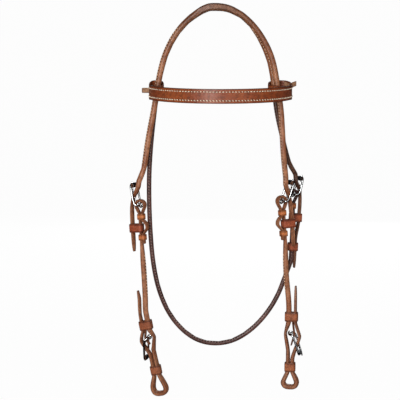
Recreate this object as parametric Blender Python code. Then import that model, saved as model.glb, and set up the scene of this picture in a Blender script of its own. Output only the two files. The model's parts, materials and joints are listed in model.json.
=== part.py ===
"""A western browband headstall of rolled leather, at its real size, in metres.

+X is to the right of someone who faces the browband, +Y is away from them, towards the
throatlatch, and +Z is up. The origin is the middle of the crown's underside, where the
crown lies on the horse's poll. The straps keep the set that they have when they hang.
"""

import math

import bmesh
import bpy
from mathutils import Vector

# Driving dimensions: the whole headstall
HEAD_HALF_WIDTH = 0.0742  # from the middle to the strands at the browband
BAND_DROP = 0.0984  # from the crown's underside down to the browband's loops
STRAND_PITCH = 0.0082  # from the front strand of the crown to its rear strand
RUNNING_GAP = 0.0003  # between pieces that touch on the real headstall

# Driving dimensions: where the heel bars of the five buckles hang
LEFT_HEEL_ACROSS = 0.0937
LEFT_HEEL_DROP = 0.2390
RIGHT_HEEL_ACROSS = 0.0811
RIGHT_HEEL_DROP = 0.2343
LEFT_BIT_ACROSS = 0.0835
LEFT_BIT_DROP = 0.4045
RIGHT_BIT_ACROSS = 0.0931
RIGHT_BIT_DROP = 0.3998
THROAT_HEEL_ACROSS = 0.0967
THROAT_HEEL_BACK = 0.0162
THROAT_HEEL_DROP = 0.2273
THROAT_DEPTH = 0.4188  # from the crown's underside down to the throatlatch's middle line
THROAT_SET_BACK = 0.0085  # of the throatlatch's lowest point behind the origin

# Leather sizes
CROWN_STRAND = 0.0076
CHEEK_STRAND = 0.0070
THROAT_STRAND = 0.0060
PAD_WIDTH = 0.0172
PAD_THICKNESS = 0.0098
PAD_REST_LENGTH = 0.012  # flat stretch in the middle of the pad's underside
BIT_STRAP_WIDTH = 0.0092
BIT_STRAP_THICKNESS = 0.0064
BIT_STRAND_WIDTH = 0.0074
BIT_STRAND_THICKNESS = 0.0052
CHAPE_THICKNESS = 0.0020
FOLD_THICKNESS = 0.0036  # a cheek strap where it is folded round a heel bar
PRESSED_THICKNESS = 0.0030  # each of its two layers inside a keeper
FOLD_WIDTH = 0.0068
BILLET_THICKNESS = 0.0036
BILLET_WIDTH = 0.0080
THROAT_FOLD_THICKNESS = 0.0032
THROAT_PRESSED_THICKNESS = 0.0026
THROAT_FOLD_WIDTH = 0.0060
THROAT_BILLET_THICKNESS = 0.0028
THROAT_BILLET_WIDTH = 0.0072
LEFT_BIT_LOOP_LENGTH = 0.0765  # from the heel bar down to the loop's outer edge
RIGHT_BIT_LOOP_LENGTH = 0.0715
BIT_LOOP_WIDTH = 0.0236
BIT_REST_LENGTH = 0.0046  # flat stretch at the bottom of the bit loop's hole

# Browband sizes
BAND_HEIGHT = 0.0172
BAND_FACE = 0.0020
BAND_LINING = 0.0014
LOOP_REACH = 0.0141  # from the strands' middle lines out to a loop's outer side
BAND_HALF_SPAN = HEAD_HALF_WIDTH + LOOP_REACH
BAND_BOW = 0.080  # how far the front stands out from the strands
BAND_SHIFT = 0.0052  # the band has slid to the right of the middle
BAND_SAG = 0.0061  # the front hangs lower than the loops
LOOP_LIFT = 0.0055  # the backs of the loops sit higher than their sides
LOOP_PLAY = 0.0040  # room inside the loops for the leaning strands
LOOP_REAR_PLAY = 0.0026
TIE_WIDTH = 0.0064
TIE_THICKNESS = 0.0018
LEFT_TIE_REACH = 0.0088  # how far the left tie sticks out of its loop
RIGHT_TIE_REACH = 0.0066
RIGHT_TIE_TILT = 0.0030  # how much higher the right tie's end is than its root
TIE_LEG = 0.0092  # how far a tie lies along the inside of its loop
TIE_BEND = 0.0024
LEFT_TIE_DEPTH = 0.0008
LEFT_TIE_RISE = 0.0010
RIGHT_TIE_DEPTH = 0.0055
RIGHT_TIE_RISE = 0.0046

# Buckle sizes
WIRE = 0.0026
HEEL_BAR_RADIUS = 0.0014
TONGUE_WIRE = 0.0018
BUCKLE_WIDTH = 0.0210
BUCKLE_LENGTH = 0.0255  # from the heel bar to the far bar
BUCKLE_STEP = 0.0076  # how far the far bar stands out from the heel bar
BUCKLE_CORNER = 0.0042
FAR_BAR_HEIGHT = 0.0062
FAR_BAR_THICKNESS = 0.0024
THROAT_BUCKLE_WIDTH = 0.0185
THROAT_BUCKLE_LENGTH = 0.0210
THROAT_BUCKLE_STEP = 0.0080

# Clearances round the moving pieces
EYE_PLAY = 0.0004
LACE_PLAY = 0.0020  # between a strap and the far bar that it passes under
TIE_SLOT_PLAY = 0.0007
TIE_PLAY = 0.0012  # between a tie and the inside of its loop
TUCK_PLAY = 0.0008  # between the browband's lining and the tucked ends behind it
SLOT_PLAY = 0.00035
SLOT_SWEEP = 0.0040  # room along a slot for a tongue to lift

# Keeper sizes
KEEPER_WALL = 0.0012
WIDE_KEEPER_WALL = 0.0014
FOLD_KEEPER_HEIGHT = 0.0071
WIDE_KEEPER_HEIGHT = 0.0106
BIT_KEEPER_HEIGHT = 0.0115

# Fineness of the solids
STRAP_SIDES = 8
WIRE_SIDES = 8
TONGUE_SIDES = 8
TURN_STEP = math.radians(17)
LONG_STEP = 0.016
BAND_STEP = 0.008
BAND_SIDES = 4
CORNER_POINTS = 3
FINE_STEPS = 14


def clear_scene():
    for item in list(bpy.data.objects):
        bpy.data.objects.remove(item, do_unlink=True)


def material(name, colour, roughness, metallic=0.0):
    made = bpy.data.materials.new(name)
    made.use_nodes = True
    shader = made.node_tree.nodes["Principled BSDF"]
    shader.inputs["Base Color"].default_value = (*colour, 1.0)
    shader.inputs["Roughness"].default_value = roughness
    shader.inputs["Metallic"].default_value = metallic
    return made


def finishes():
    """One finish for each kind of piece, as a colour, a roughness and a metallic value."""
    return {
        "crown": ((0.38, 0.14, 0.065), 0.45, 0.0),
        "throat": ((0.11, 0.045, 0.040), 0.42, 0.0),
        "band": ((0.35, 0.10, 0.045), 0.40, 0.0),
        "lining": ((0.30, 0.13, 0.07), 0.75, 0.0),
        "tan": ((0.60, 0.19, 0.06), 0.50, 0.0),
        "red": ((0.30, 0.07, 0.04), 0.42, 0.0),
        "lace": ((0.42, 0.20, 0.09), 0.65, 0.0),
        "steel": ((0.72, 0.74, 0.73), 0.18, 1.0),
    }


def between(low, high, share):
    return low + (high - low) * share


# Routes: a stop holds a place on the strap's middle line and the strap's section there


class Stop:
    def __init__(self, place, side, width, thickness, square=1.0, keep=False):
        self.place = Vector(place)
        self.side = Vector(side)
        self.width = width
        self.thickness = thickness
        self.square = square
        self.keep = keep


def slopes(stops, closed):
    """Smooth directions through the stops; straight between two that are both kept."""
    places = [stop.place for stop in stops]
    count = len(places)
    last = count if closed else count - 1
    runs = [(places[(i + 1) % count] - places[i]).length for i in range(last)]
    steps = [(places[(i + 1) % count] - places[i]) / runs[i] for i in range(last)]
    made = []
    for i in range(count):
        if not closed and i in (0, count - 1):
            made.append(steps[0] if i == 0 else steps[-1])
            continue
        before, after = (i - 1) % last, i % last
        if stops[i].keep and stops[(i + 1) % count].keep:
            made.append(steps[after])
            continue
        if stops[i].keep and stops[i - 1].keep:
            made.append(steps[before])
            continue
        whole = runs[before] + runs[after]
        made.append((steps[before] * runs[after] + steps[after] * runs[before]) / whole)
    return runs, made


def smooth_stops(stops, closed=False):
    """Fine stops along one smooth curve through the given stops."""
    for before, after in zip(stops, stops[1:]):
        if before.side.dot(after.side) < 0:
            after.side = -after.side
    runs, directions = slopes(stops, closed)
    fine = []
    for i, run in enumerate(runs):
        here, there = stops[i], stops[(i + 1) % len(stops)]
        start, end = directions[i] * run, directions[(i + 1) % len(stops)] * run
        for step in range(FINE_STEPS):
            t = step / FINE_STEPS
            place = (
                here.place * (2 * t**3 - 3 * t**2 + 1)
                + start * (t**3 - 2 * t**2 + t)
                + there.place * (3 * t**2 - 2 * t**3)
                + end * (t**3 - t**2)
            )
            fine.append(
                Stop(
                    place,
                    here.side.lerp(there.side, t),
                    here.width + (there.width - here.width) * t,
                    here.thickness + (there.thickness - here.thickness) * t,
                    here.square + (there.square - here.square) * t,
                    step == 0 and here.keep,
                )
            )
    if not closed:
        fine.append(stops[-1])
    return fine


def heading(fine, i, closed):
    count = len(fine)
    before = fine[(i - 1) % count] if closed else fine[max(i - 1, 0)]
    after = fine[(i + 1) % count] if closed else fine[min(i + 1, count - 1)]
    return (after.place - before.place).normalized()


def thin_stops(fine, closed, turn_step=TURN_STEP, long_step=LONG_STEP):
    """Keeps a stop where the strap has turned or run far enough since the last one."""
    kept = [0]
    run = 0.0
    for i in range(1, len(fine)):
        run += (fine[i].place - fine[i - 1].place).length
        turned = heading(fine, kept[-1], closed).angle(heading(fine, i, closed), 0.0)
        end = i == len(fine) - 1 and not closed
        if fine[i].keep or end or turned > turn_step or run > long_step:
            kept.append(i)
            run = 0.0
    return [(fine[i], heading(fine, i, closed)) for i in kept]


def ring_places(stop, direction, sides):
    """The corners of a section: round at square 1, and flatter sided below that."""
    side = (stop.side - direction * stop.side.dot(direction)).normalized()
    across = direction.cross(side)
    full = math.cos(math.pi / sides) ** stop.square
    corners = []
    for corner in range(sides):
        angle = 2 * math.pi * (corner + 0.5) / sides
        wide, thick = math.cos(angle), math.sin(angle)
        wide = math.copysign(abs(wide) ** stop.square, wide) / full
        thick = math.copysign(abs(thick) ** stop.square, thick) / full
        place = stop.place + side * (wide * stop.width / 2)
        corners.append(place + across * (thick * stop.thickness / 2))
    return corners


def skin_mesh(name, rings, closed):
    """A closed mesh through the rings, with flat ends where the route is open."""
    mesh = bmesh.new()
    corners = [[mesh.verts.new(place) for place in ring] for ring in rings]
    last = len(corners) if closed else len(corners) - 1
    for i in range(last):
        here, there = corners[i], corners[(i + 1) % len(corners)]
        for k in range(len(here)):
            after = (k + 1) % len(here)
            mesh.faces.new((here[k], here[after], there[after], there[k]))
    if not closed:
        mesh.faces.new(corners[0])
        mesh.faces.new(reversed(corners[-1]))
    return finished_mesh(name, mesh)


def finished_mesh(name, mesh):
    bmesh.ops.recalc_face_normals(mesh, faces=mesh.faces)
    data = bpy.data.meshes.new(name)
    mesh.to_mesh(data)
    mesh.free()
    data.shade_smooth()
    data.set_sharp_from_angle(angle=math.radians(50))
    return data


def sweep(name, stops, finish, sides=STRAP_SIDES, closed=False, turn_step=TURN_STEP):
    kept = thin_stops(smooth_stops(stops, closed), closed, turn_step)
    rings = [ring_places(stop, direction, sides) for stop, direction in kept]
    return add_object(name, skin_mesh(name, rings, closed), finish)


def upright_sweep(name, stops, finish):
    """A flat band whose sections all stand upright, however the band's line rises."""
    kept = thin_stops(smooth_stops(stops), False, TURN_STEP, BAND_STEP)
    rings = []
    for stop, direction in kept:
        level = Vector((direction.x, direction.y, 0.0)).normalized()
        rings.append(ring_places(stop, level, BAND_SIDES))
    return add_object(name, skin_mesh(name, rings, False), finish)


def add_object(name, data, finish):
    made = bpy.data.objects.new(name, data)
    bpy.context.collection.objects.link(made)
    if finish:
        data.materials.append(material(name, *finishes()[finish]))
    else:
        made.hide_render = True
        made.display_type = "WIRE"
    return made


def combine(target, tool, operation):
    """Leaves a live Boolean on the target that joins the tool or cuts it away."""
    step = target.modifiers.new(operation.lower(), "BOOLEAN")
    step.operation = operation
    step.solver = "EXACT"
    step.object = tool


def box_between(name, corners_low_high, place_at):
    """A guide box whose two corners are given in a buckle's own directions."""
    low, high = corners_low_high
    mesh = bmesh.new()
    corners = [
        mesh.verts.new(place_at(out, wide, along))
        for out in (low[0], high[0])
        for wide in (low[1], high[1])
        for along in (low[2], high[2])
    ]
    for face in ((0, 1, 3, 2), (4, 6, 7, 5), (0, 4, 5, 1), (2, 3, 7, 6), (0, 2, 6, 4), (1, 5, 7, 3)):
        mesh.faces.new([corners[i] for i in face])
    return add_object(name, finished_mesh(name, mesh), None)


# A buckle's own directions: out from the horse, wide across the strap, and along the frame


class Station:
    """Where a buckle hangs, with the directions that its strap and its frame follow."""

    def __init__(self, heel, hand, turn, slant, frame_hangs_down, lean):
        strap_up = Vector((slant, 0.0, 1.0)).normalized()
        self.heel = Vector(heel)
        self.along = -strap_up if frame_hangs_down else strap_up
        outward = Vector((hand * math.cos(turn), math.sin(turn), 0.0))
        self.out = (outward - self.along * outward.dot(self.along)).normalized()
        self.wide = self.along.cross(self.out)
        self.lean = lean

    def strap(self, out, wide, along):
        return self.heel + self.out * out + self.wide * wide + self.along * along

    def frame(self, out, wide, along):
        """The same, turned about the heel bar by the frame's lean."""
        turned_out = out * math.cos(self.lean) + along * math.sin(self.lean)
        turned_along = along * math.cos(self.lean) - out * math.sin(self.lean)
        return self.strap(turned_out, wide, turned_along)

    def direction(self, out, along):
        return (self.frame(out, 0.0, along) - self.heel).normalized()


class Buckle:
    def __init__(self, width, length, step):
        self.width = width
        self.length = length
        self.step = step
        self.loop_radius = HEEL_BAR_RADIUS + EYE_PLAY + TONGUE_WIRE / 2
        self.eye_radius = self.loop_radius + TONGUE_WIRE / 2 + 2 * EYE_PLAY
        self.far_inside = step - FAR_BAR_THICKNESS / 2
        self.far_outside = step + FAR_BAR_THICKNESS / 2
        self.far_low = length - FAR_BAR_HEIGHT / 2
        self.far_high = length + FAR_BAR_HEIGHT / 2


class Gauge:
    """The sizes of a strap where it is rolled, folded, pressed and flattened to a billet."""

    def __init__(self, rolled, fold, pressed, width, billet, billet_width):
        self.rolled = rolled
        self.fold = fold
        self.pressed = pressed
        self.width = width
        self.billet = billet
        self.billet_width = billet_width


CHEEK_GAUGE = Gauge(
    rolled=CHEEK_STRAND,
    fold=FOLD_THICKNESS,
    pressed=PRESSED_THICKNESS,
    width=FOLD_WIDTH,
    billet=BILLET_THICKNESS,
    billet_width=BILLET_WIDTH,
)
THROAT_GAUGE = Gauge(
    rolled=THROAT_STRAND,
    fold=THROAT_FOLD_THICKNESS,
    pressed=THROAT_PRESSED_THICKNESS,
    width=THROAT_FOLD_WIDTH,
    billet=THROAT_BILLET_THICKNESS,
    billet_width=THROAT_BILLET_WIDTH,
)
CHEEK_BUCKLE = Buckle(BUCKLE_WIDTH, BUCKLE_LENGTH, BUCKLE_STEP)
THROAT_BUCKLE = Buckle(THROAT_BUCKLE_WIDTH, THROAT_BUCKLE_LENGTH, THROAT_BUCKLE_STEP)

FRONT = -STRAND_PITCH / 2
REAR = STRAND_PITCH / 2

# How far each buckle is turned from the side, slants with its strap, and leans from the strap
TOP_TURN = math.radians(24)
LEFT_BIT_TURN = math.radians(15)
RIGHT_BIT_TURN = math.radians(-14)
LEFT_TOP_SLANT = -0.060
RIGHT_TOP_SLANT = -0.070
THROAT_SLANT = 0.036
LEFT_BIT_SLANT = -0.198
RIGHT_BIT_SLANT = 0.004
LEFT_TOP_LEAN = 0.0
RIGHT_TOP_LEAN = math.radians(15)
THROAT_LEAN = math.radians(3)
LEFT_BIT_LEAN = math.radians(3)
RIGHT_BIT_LEAN = math.radians(10)

LEFT_TOP = Station(
    (-LEFT_HEEL_ACROSS, FRONT, -LEFT_HEEL_DROP),
    -1,
    TOP_TURN,
    LEFT_TOP_SLANT,
    False,
    LEFT_TOP_LEAN,
)
RIGHT_TOP = Station(
    (RIGHT_HEEL_ACROSS, FRONT, -RIGHT_HEEL_DROP),
    1,
    TOP_TURN,
    RIGHT_TOP_SLANT,
    False,
    RIGHT_TOP_LEAN,
)
THROAT_TOP = Station(
    (THROAT_HEEL_ACROSS, THROAT_HEEL_BACK, -THROAT_HEEL_DROP),
    1,
    TOP_TURN,
    THROAT_SLANT,
    False,
    THROAT_LEAN,
)
LEFT_BIT = Station(
    (-LEFT_BIT_ACROSS, FRONT, -LEFT_BIT_DROP),
    -1,
    LEFT_BIT_TURN,
    LEFT_BIT_SLANT,
    True,
    LEFT_BIT_LEAN,
)
RIGHT_BIT = Station(
    (RIGHT_BIT_ACROSS, FRONT, -RIGHT_BIT_DROP),
    1,
    RIGHT_BIT_TURN,
    RIGHT_BIT_SLANT,
    True,
    RIGHT_BIT_LEAN,
)

# Where the keepers sit, from the heel bar along the strap away from the frame
FOLD_KEEPER_REACH = 0.0142
LOWER_FOLD_KEEPER_REACH = 0.0400
WIDE_KEEPER_REACH = 0.0283
LEFT_BILLET_KEEPER_REACH = 0.0155
RIGHT_BILLET_KEEPER_REACH = 0.0210
LEFT_BILLET_TURN_IN = 0.0036  # how far the tip leans in to the strap above its keeper
RIGHT_BILLET_TURN_IN = 0.0
BIT_KEEPER_REACH = 0.0428  # this one is on the frame's side of the heel bar
TAIL_REACH = 0.0480
BIGHT_REACH = 0.0074
BILLET_OUT = 0.0128
CHEEK_BILLET_LENGTH = 0.0575
BIT_BILLET_LENGTH = 0.0600
THROAT_BILLET_LENGTH = 0.0930
THROAT_BILLET_OUT = 0.0100
BIT_BILLET_BULGE = 0.0106
BIT_STRAP_IN = 0.0020  # the bit strap runs this far inside the heel bar's line
THROAT_TIP_KEEPER_REACH = 0.0660
THROAT_TAIL_REACH = 0.0262
THROAT_KEEPER_REACH = 0.0292
SLIDE_ROOM = 0.0100  # straight strap kept clear above a bit billet's keeper
KEEPER_SLIDE = 0.0040  # straight strap kept clear for the other sliding keepers
SPLICE_INSET = 0.0015  # the throat strands bend this far above the band's lower edge
KEEPER_PLAY = 0.0003
KEEPER_CORNER = 0.0012
TIP_TAPER = 0.0090
SLOT_ALONG = 0.0096
TONGUE_REST_GAP = 0.0005
TONGUE_OVERHANG = 0.0012
RIGHT_SPREAD = 0.0016  # the right strands lie side by side in the front view

# Places as shares: across is a share of the half width or heel distance, down of the drop
LEFT_ARCH_SHARES = ((0.985, 1.00), (0.915, 0.717), (0.853, 0.55), (0.753, 0.385), (0.608, 0.219))
LEFT_CROWN_SHARE = (0.370, 0.053)
RIGHT_CROWN_SHARE = (0.350, 0.016)
RIGHT_ARCH_SHARES = ((0.60, 0.17), (0.712, 0.287), (0.803, 0.406), (0.927, 0.642), (0.99, 0.93))
RIGHT_SPREAD_SHARES = (0.25, 0.55, 0.85, 1.0, 1.0)
LEFT_DROP_SHARES = ((0.04, 0.09), (0.50, 0.42), (0.70, 0.60), (0.86, 0.735))
RIGHT_DROP_SHARES = ((0.62, 0.093), (1.15, 0.437), (1.45, 0.668))
THROAT_DROP_SHARES = (
    (0.11, 0.16, 0.02),
    (0.37, 0.38, 0.12),
    (0.53, 0.50, 0.25),
    (0.66, 0.61, 0.45),
    (0.82, 0.695, 0.70),
)
THROATLATCH_SHARES = (
    (-0.835, 0.387, 0.62),
    (-0.862, 0.481, 0.68),
    (-0.863, 0.569, 0.74),
    (-0.847, 0.660, 0.80),
    (-0.812, 0.750, 0.86),
    (-0.739, 0.830, 0.92),
    (-0.597, 0.905, 0.96),
    (-0.416, 0.955, 0.98),
    (-0.212, 0.985, 1.00),
    (-0.011, 0.993, 1.00),
    (0.215, 0.985, 1.00),
    (0.435, 0.955, 1.02),
    (0.647, 0.905, 1.06),
    (0.799, 0.850, 1.12),
    (0.905, 0.785, 1.22),
)
LEFT_CHEEK_SHARES = ((0.40, 0.30), (0.65, 0.52), (0.85, 0.72))
RIGHT_CHEEK_SHARES = ((0.05, 0.30), (0.22, 0.52), (0.55, 0.72))
BIGHT_SHARES = ((0.40, 0.12), (0.80, 0.26), (1.00, 0.42), (0.99, 0.62), (0.66, 0.83))
EYE_TURN_DEGREES = (195, 150, 110, 70, 30, -15)
HEEL_RISE_SHARES = (0.5, 0.086)  # of a buckle's step, over a share of its length
FAR_RISE_SHARES = (0.07, 0.255)
HEEL_CORNER_SHARES = (0.10, 0.012)
FRAME_PROFILE_SHARES = ((0.50, 0.086, 0.75), (0.76, 0.31, 0.30), (0.93, 0.745, 0.10))
FAR_CORNER_SHARE = 0.985
CORNER_SHARE = 0.29  # of a corner's radius, from its square corner to its arc
CROSSING_SHARE = 0.53  # of the buckle's length, where tongue and billet cross
LOOP_SHARES = ((0.56, 0.22), (0.90, 0.48), (1.00, 0.72), (0.79, 0.92))
PAD_SHARES = (1.0, 0.86, 0.55)  # of the pad's section, from its middle to its ends
FLAT_SQUARE = 0.55
FAR_CORNER_SQUARE = 0.8
PRESSED_SQUARE = 0.60
LOOP_SQUARE = 0.70
BAND_SQUARE = 0.35
TIP_SHARE = 0.62
SKIVE_SHARE = 0.80


# The strap's way through a buckle


def tongue_lean(buckle):
    """The angle at which the tongue leaves its loop to rest on the far bar."""
    rest = buckle.far_outside + TONGUE_REST_GAP + TONGUE_WIRE / 2
    angle = 0.0
    for _ in range(8):
        out = buckle.loop_radius * math.cos(angle)
        along = -buckle.loop_radius * math.sin(angle)
        angle = math.atan2(rest - out, buckle.far_low - along)
    return angle


def tongue_out(buckle, along):
    """How far out the tongue is at a place along the frame."""
    angle = tongue_lean(buckle)
    start_out = buckle.loop_radius * math.cos(angle)
    start_along = -buckle.loop_radius * math.sin(angle)
    return start_out + (along - start_along) * math.tan(angle)


def crossing_stops(station, buckle, gauge, entry_thickness, entry_width):
    """Under the far bar, through the frame, and out over the heel bar."""
    side = station.wide
    inside = buckle.far_inside - RUNNING_GAP - LACE_PLAY
    cross_along = buckle.length * CROSSING_SHARE
    clear_out = buckle.eye_radius + gauge.fold + RUNNING_GAP + gauge.billet / 2
    low_thickness = (entry_thickness + gauge.billet) / 2
    return [
        Stop(
            station.frame(inside - entry_thickness / 2, 0, buckle.far_high),
            side,
            entry_width,
            entry_thickness,
            1.0,
            True,
        ),
        Stop(
            station.frame(inside - low_thickness / 2, 0, buckle.far_low),
            side,
            (entry_width + gauge.billet_width) / 2,
            low_thickness,
            PRESSED_SQUARE,
            True,
        ),
        Stop(
            station.frame(tongue_out(buckle, cross_along), 0, cross_along),
            side,
            gauge.billet_width,
            gauge.billet,
            FLAT_SQUARE,
        ),
        Stop(
            station.frame(clear_out + gauge.billet * CORNER_SHARE, 0, buckle.eye_radius),
            side,
            gauge.billet_width,
            gauge.billet,
            FLAT_SQUARE,
        ),
    ]


def billet_stop(station, gauge, out, along, keep=False):
    width, thickness = gauge.billet_width, gauge.billet
    return Stop(station.strap(out, 0, along), station.wide, width, thickness, FLAT_SQUARE, keep)


def tip_stops(station, gauge, out, end):
    """The last stretch of a billet, cut narrower and skived thin."""
    start = billet_stop(station, gauge, out, end + TIP_TAPER, True)
    tip = billet_stop(station, gauge, out, end, True)
    tip.width *= TIP_SHARE
    tip.thickness *= TIP_SHARE
    return [start, tip]


def fold_stop(station, gauge, out, along, thickness, keep=False):
    place = station.strap(out, 0, along)
    return Stop(place, station.wide, gauge.width, thickness, PRESSED_SQUARE, keep)


def beside(gauge):
    """How far the middle lines of two layers lie from the line between them."""
    return (gauge.pressed + RUNNING_GAP) / 2


def eye_stops(station, buckle, gauge):
    """Up through the upper keeper, round the heel bar and down through the keeper again."""
    low = -(FOLD_KEEPER_REACH + FOLD_KEEPER_HEIGHT / 2)
    high = -(FOLD_KEEPER_REACH - FOLD_KEEPER_HEIGHT / 2)
    aside = beside(gauge)
    radius = buckle.eye_radius + gauge.fold / 2
    stops = [fold_stop(station, gauge, -aside, along, gauge.pressed, True) for along in (low, high)]
    for degrees in EYE_TURN_DEGREES:
        angle = math.radians(degrees)
        out, along = radius * math.cos(angle), radius * math.sin(angle)
        stops.append(fold_stop(station, gauge, out, along, gauge.fold))
    stops += [fold_stop(station, gauge, aside, along, gauge.pressed, True) for along in (high, low)]
    return stops


def cheek_fold_stops(station, buckle, gauge):
    """From the tail's end up through both keepers, round the heel bar and down again."""
    lower_top = -(LOWER_FOLD_KEEPER_REACH - FOLD_KEEPER_HEIGHT / 2)
    lower_end = -(LOWER_FOLD_KEEPER_REACH + FOLD_KEEPER_HEIGHT / 2)
    upper_end = -(FOLD_KEEPER_REACH + FOLD_KEEPER_HEIGHT / 2)
    aside = beside(gauge)
    thickness = gauge.pressed * SKIVE_SHARE
    stops = [
        fold_stop(station, gauge, -aside, -TAIL_REACH, gauge.pressed, True),
        fold_stop(station, gauge, -aside, lower_end, gauge.pressed, True),
        fold_stop(station, gauge, -aside, lower_top, thickness, True),
    ]
    for out_share, along_share in BIGHT_SHARES:
        along = between(lower_top, upper_end, along_share)
        stops.append(fold_stop(station, gauge, -BIGHT_REACH * out_share, along, thickness))
        thickness = gauge.fold
    stops += eye_stops(station, buckle, gauge)
    for along in (lower_top, lower_end, -TAIL_REACH):
        stops.append(fold_stop(station, gauge, aside, along, gauge.pressed, True))
    return stops


def cut_slot(target, station, middle, direction, length, thickness, name):
    """Cuts a tongue's slot through a strap, along the direction that the strap runs."""
    half_wide = TONGUE_WIRE / 2 + SLOT_PLAY
    across = direction.cross(station.wide).normalized()

    def place_at(along, wide, deep):
        return middle + direction * along + station.wide * wide + across * deep

    low = (-length / 2, -half_wide, -thickness)
    high = (length / 2, half_wide, thickness)
    tool = box_between(name, (low, high), place_at)
    combine(target, tool, "DIFFERENCE")


def cut_billet_hole(target, station, buckle, gauge, name):
    along = buckle.length * CROSSING_SHARE
    middle = station.frame(tongue_out(buckle, along), 0, along)
    low = station.frame(
        buckle.eye_radius + gauge.fold + RUNNING_GAP + gauge.billet / 2, 0, buckle.eye_radius
    )
    direction = (low - middle).normalized()
    middle = middle + direction * (SLOT_SWEEP / 2)
    length = SLOT_ALONG + SLOT_SWEEP
    cut_slot(target, station, middle, direction, length, gauge.rolled, name)


def cut_eye_slot(target, station, buckle, name):
    """Opens an eye where the tongue leaves it, with room for the tongue to lift."""
    angle = tongue_lean(buckle)
    shaft = station.direction(math.sin(angle), math.cos(angle))
    across = shaft.cross(station.wide).normalized()
    if across.dot(station.out) < 0:
        across = -across
    half_wide = TONGUE_WIRE / 2 + SLOT_PLAY
    inside = TONGUE_WIRE / 2 + SLOT_PLAY
    start = station.heel + across * buckle.loop_radius

    def place_at(along, wide, out):
        return start + shaft * along + station.wide * wide + across * out

    low = (-inside, -half_wide, -inside)
    high = (buckle.far_low, half_wide, inside + SLOT_SWEEP)
    combine(target, box_between(name, (low, high), place_at), "DIFFERENCE")


# Pieces of a buckle


def set_pivot(item, place):
    """Puts the piece's own origin on the axis that it turns about."""
    for corner in item.data.vertices:
        corner.co -= place
    item.location = place


def rise_angle(buckle, shares):
    """How steeply a frame's wire climbs, from shares of its step and of its length."""
    step_share, length_share = shares
    return math.atan2(buckle.step * step_share, buckle.length * length_share)


def frame_stops(station, buckle):
    """The closed wire of a frame: heel bar, two bent side bars and a flattened far bar."""
    half = buckle.width / 2 - WIRE / 2
    corner = BUCKLE_CORNER
    cut = corner * CORNER_SHARE

    def stop(out, wide, along, rise, thin=WIRE, tall=WIRE, square=1.0, keep=False):
        side = station.direction(math.cos(rise), -math.sin(rise))
        return Stop(station.frame(out, wide, along), side, thin, tall, square, keep)

    heel = 2 * HEEL_BAR_RADIUS
    far_rise = rise_angle(buckle, FAR_RISE_SHARES)
    heel_rise = rise_angle(buckle, HEEL_RISE_SHARES)
    stops = [stop(0, half - corner, 0, heel_rise, heel, heel, keep=True)]
    out_share, along_share = HEEL_CORNER_SHARES
    out, along = buckle.step * out_share, buckle.length * along_share
    stops.append(stop(out, half - cut, along, heel_rise))
    for out_share, along_share, rise_share in FRAME_PROFILE_SHARES:
        out, along = buckle.step * out_share, buckle.length * along_share
        stops.append(stop(out, half, along, heel_rise * rise_share))
    tall = (WIRE + FAR_BAR_HEIGHT) / 2
    far_out = buckle.step * FAR_CORNER_SHARE
    far_along = buckle.length - cut / 2
    stops.append(stop(far_out, half - cut, far_along, far_rise, WIRE, tall, FAR_CORNER_SQUARE))
    far = (FAR_BAR_THICKNESS, FAR_BAR_HEIGHT)
    stops.append(
        stop(buckle.step, half - corner, buckle.length, far_rise, *far, FLAT_SQUARE, True)
    )
    mirrored = []
    for made in reversed(stops):
        offset = (made.place - station.heel).dot(station.wide)
        twin = made.place - station.wide * (2 * offset)
        mirrored.append(
            Stop(twin, made.side, made.width, made.thickness, made.square, made.keep)
        )
    return stops + mirrored


def buckle_frame(name, station, buckle):
    made = sweep(name, frame_stops(station, buckle), "steel", WIRE_SIDES, closed=True)
    set_pivot(made, station.heel)
    return made


def buckle_tongue(name, station, buckle):
    """A wire closed round the heel bar, whose point rests on the far bar."""
    angle = tongue_lean(buckle)
    rest = buckle.far_outside + TONGUE_REST_GAP + TONGUE_WIRE / 2
    opening = 2 * math.asin((TONGUE_WIRE + RUNNING_GAP) / (2 * buckle.loop_radius))
    turn = 2 * math.pi - opening * 1.25
    steps = 8
    stops = []
    for step in range(steps + 1):
        around = -angle - turn * (1 - step / steps)
        out = buckle.loop_radius * math.cos(around)
        along = buckle.loop_radius * math.sin(around)
        stops.append(
            Stop(station.frame(out, 0, along), station.wide, TONGUE_WIRE, TONGUE_WIRE)
        )
    for along in (buckle.far_low, buckle.far_high + TONGUE_OVERHANG):
        place = station.frame(rest, 0, along)
        stops.append(Stop(place, station.wide, TONGUE_WIRE, TONGUE_WIRE, keep=True))
    stops[-1].width *= TIP_SHARE
    made = sweep(name, stops, "steel", TONGUE_SIDES, turn_step=math.radians(34))
    set_pivot(made, station.heel)
    return made


def rounded_outline(low_out, high_out, half_wide, corner):
    """A rectangle with round corners, anticlockwise, as pairs of out and wide."""
    corner = min(corner, half_wide, (high_out - low_out) / 2)
    centres = (
        (high_out - corner, half_wide - corner, 0),
        (low_out + corner, half_wide - corner, 90),
        (low_out + corner, corner - half_wide, 180),
        (high_out - corner, corner - half_wide, 270),
    )
    outline = []
    for out, wide, start in centres:
        for step in range(CORNER_POINTS):
            angle = math.radians(start + 90 * step / (CORNER_POINTS - 1))
            outline.append((out + corner * math.cos(angle), wide + corner * math.sin(angle)))
    return outline


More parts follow.
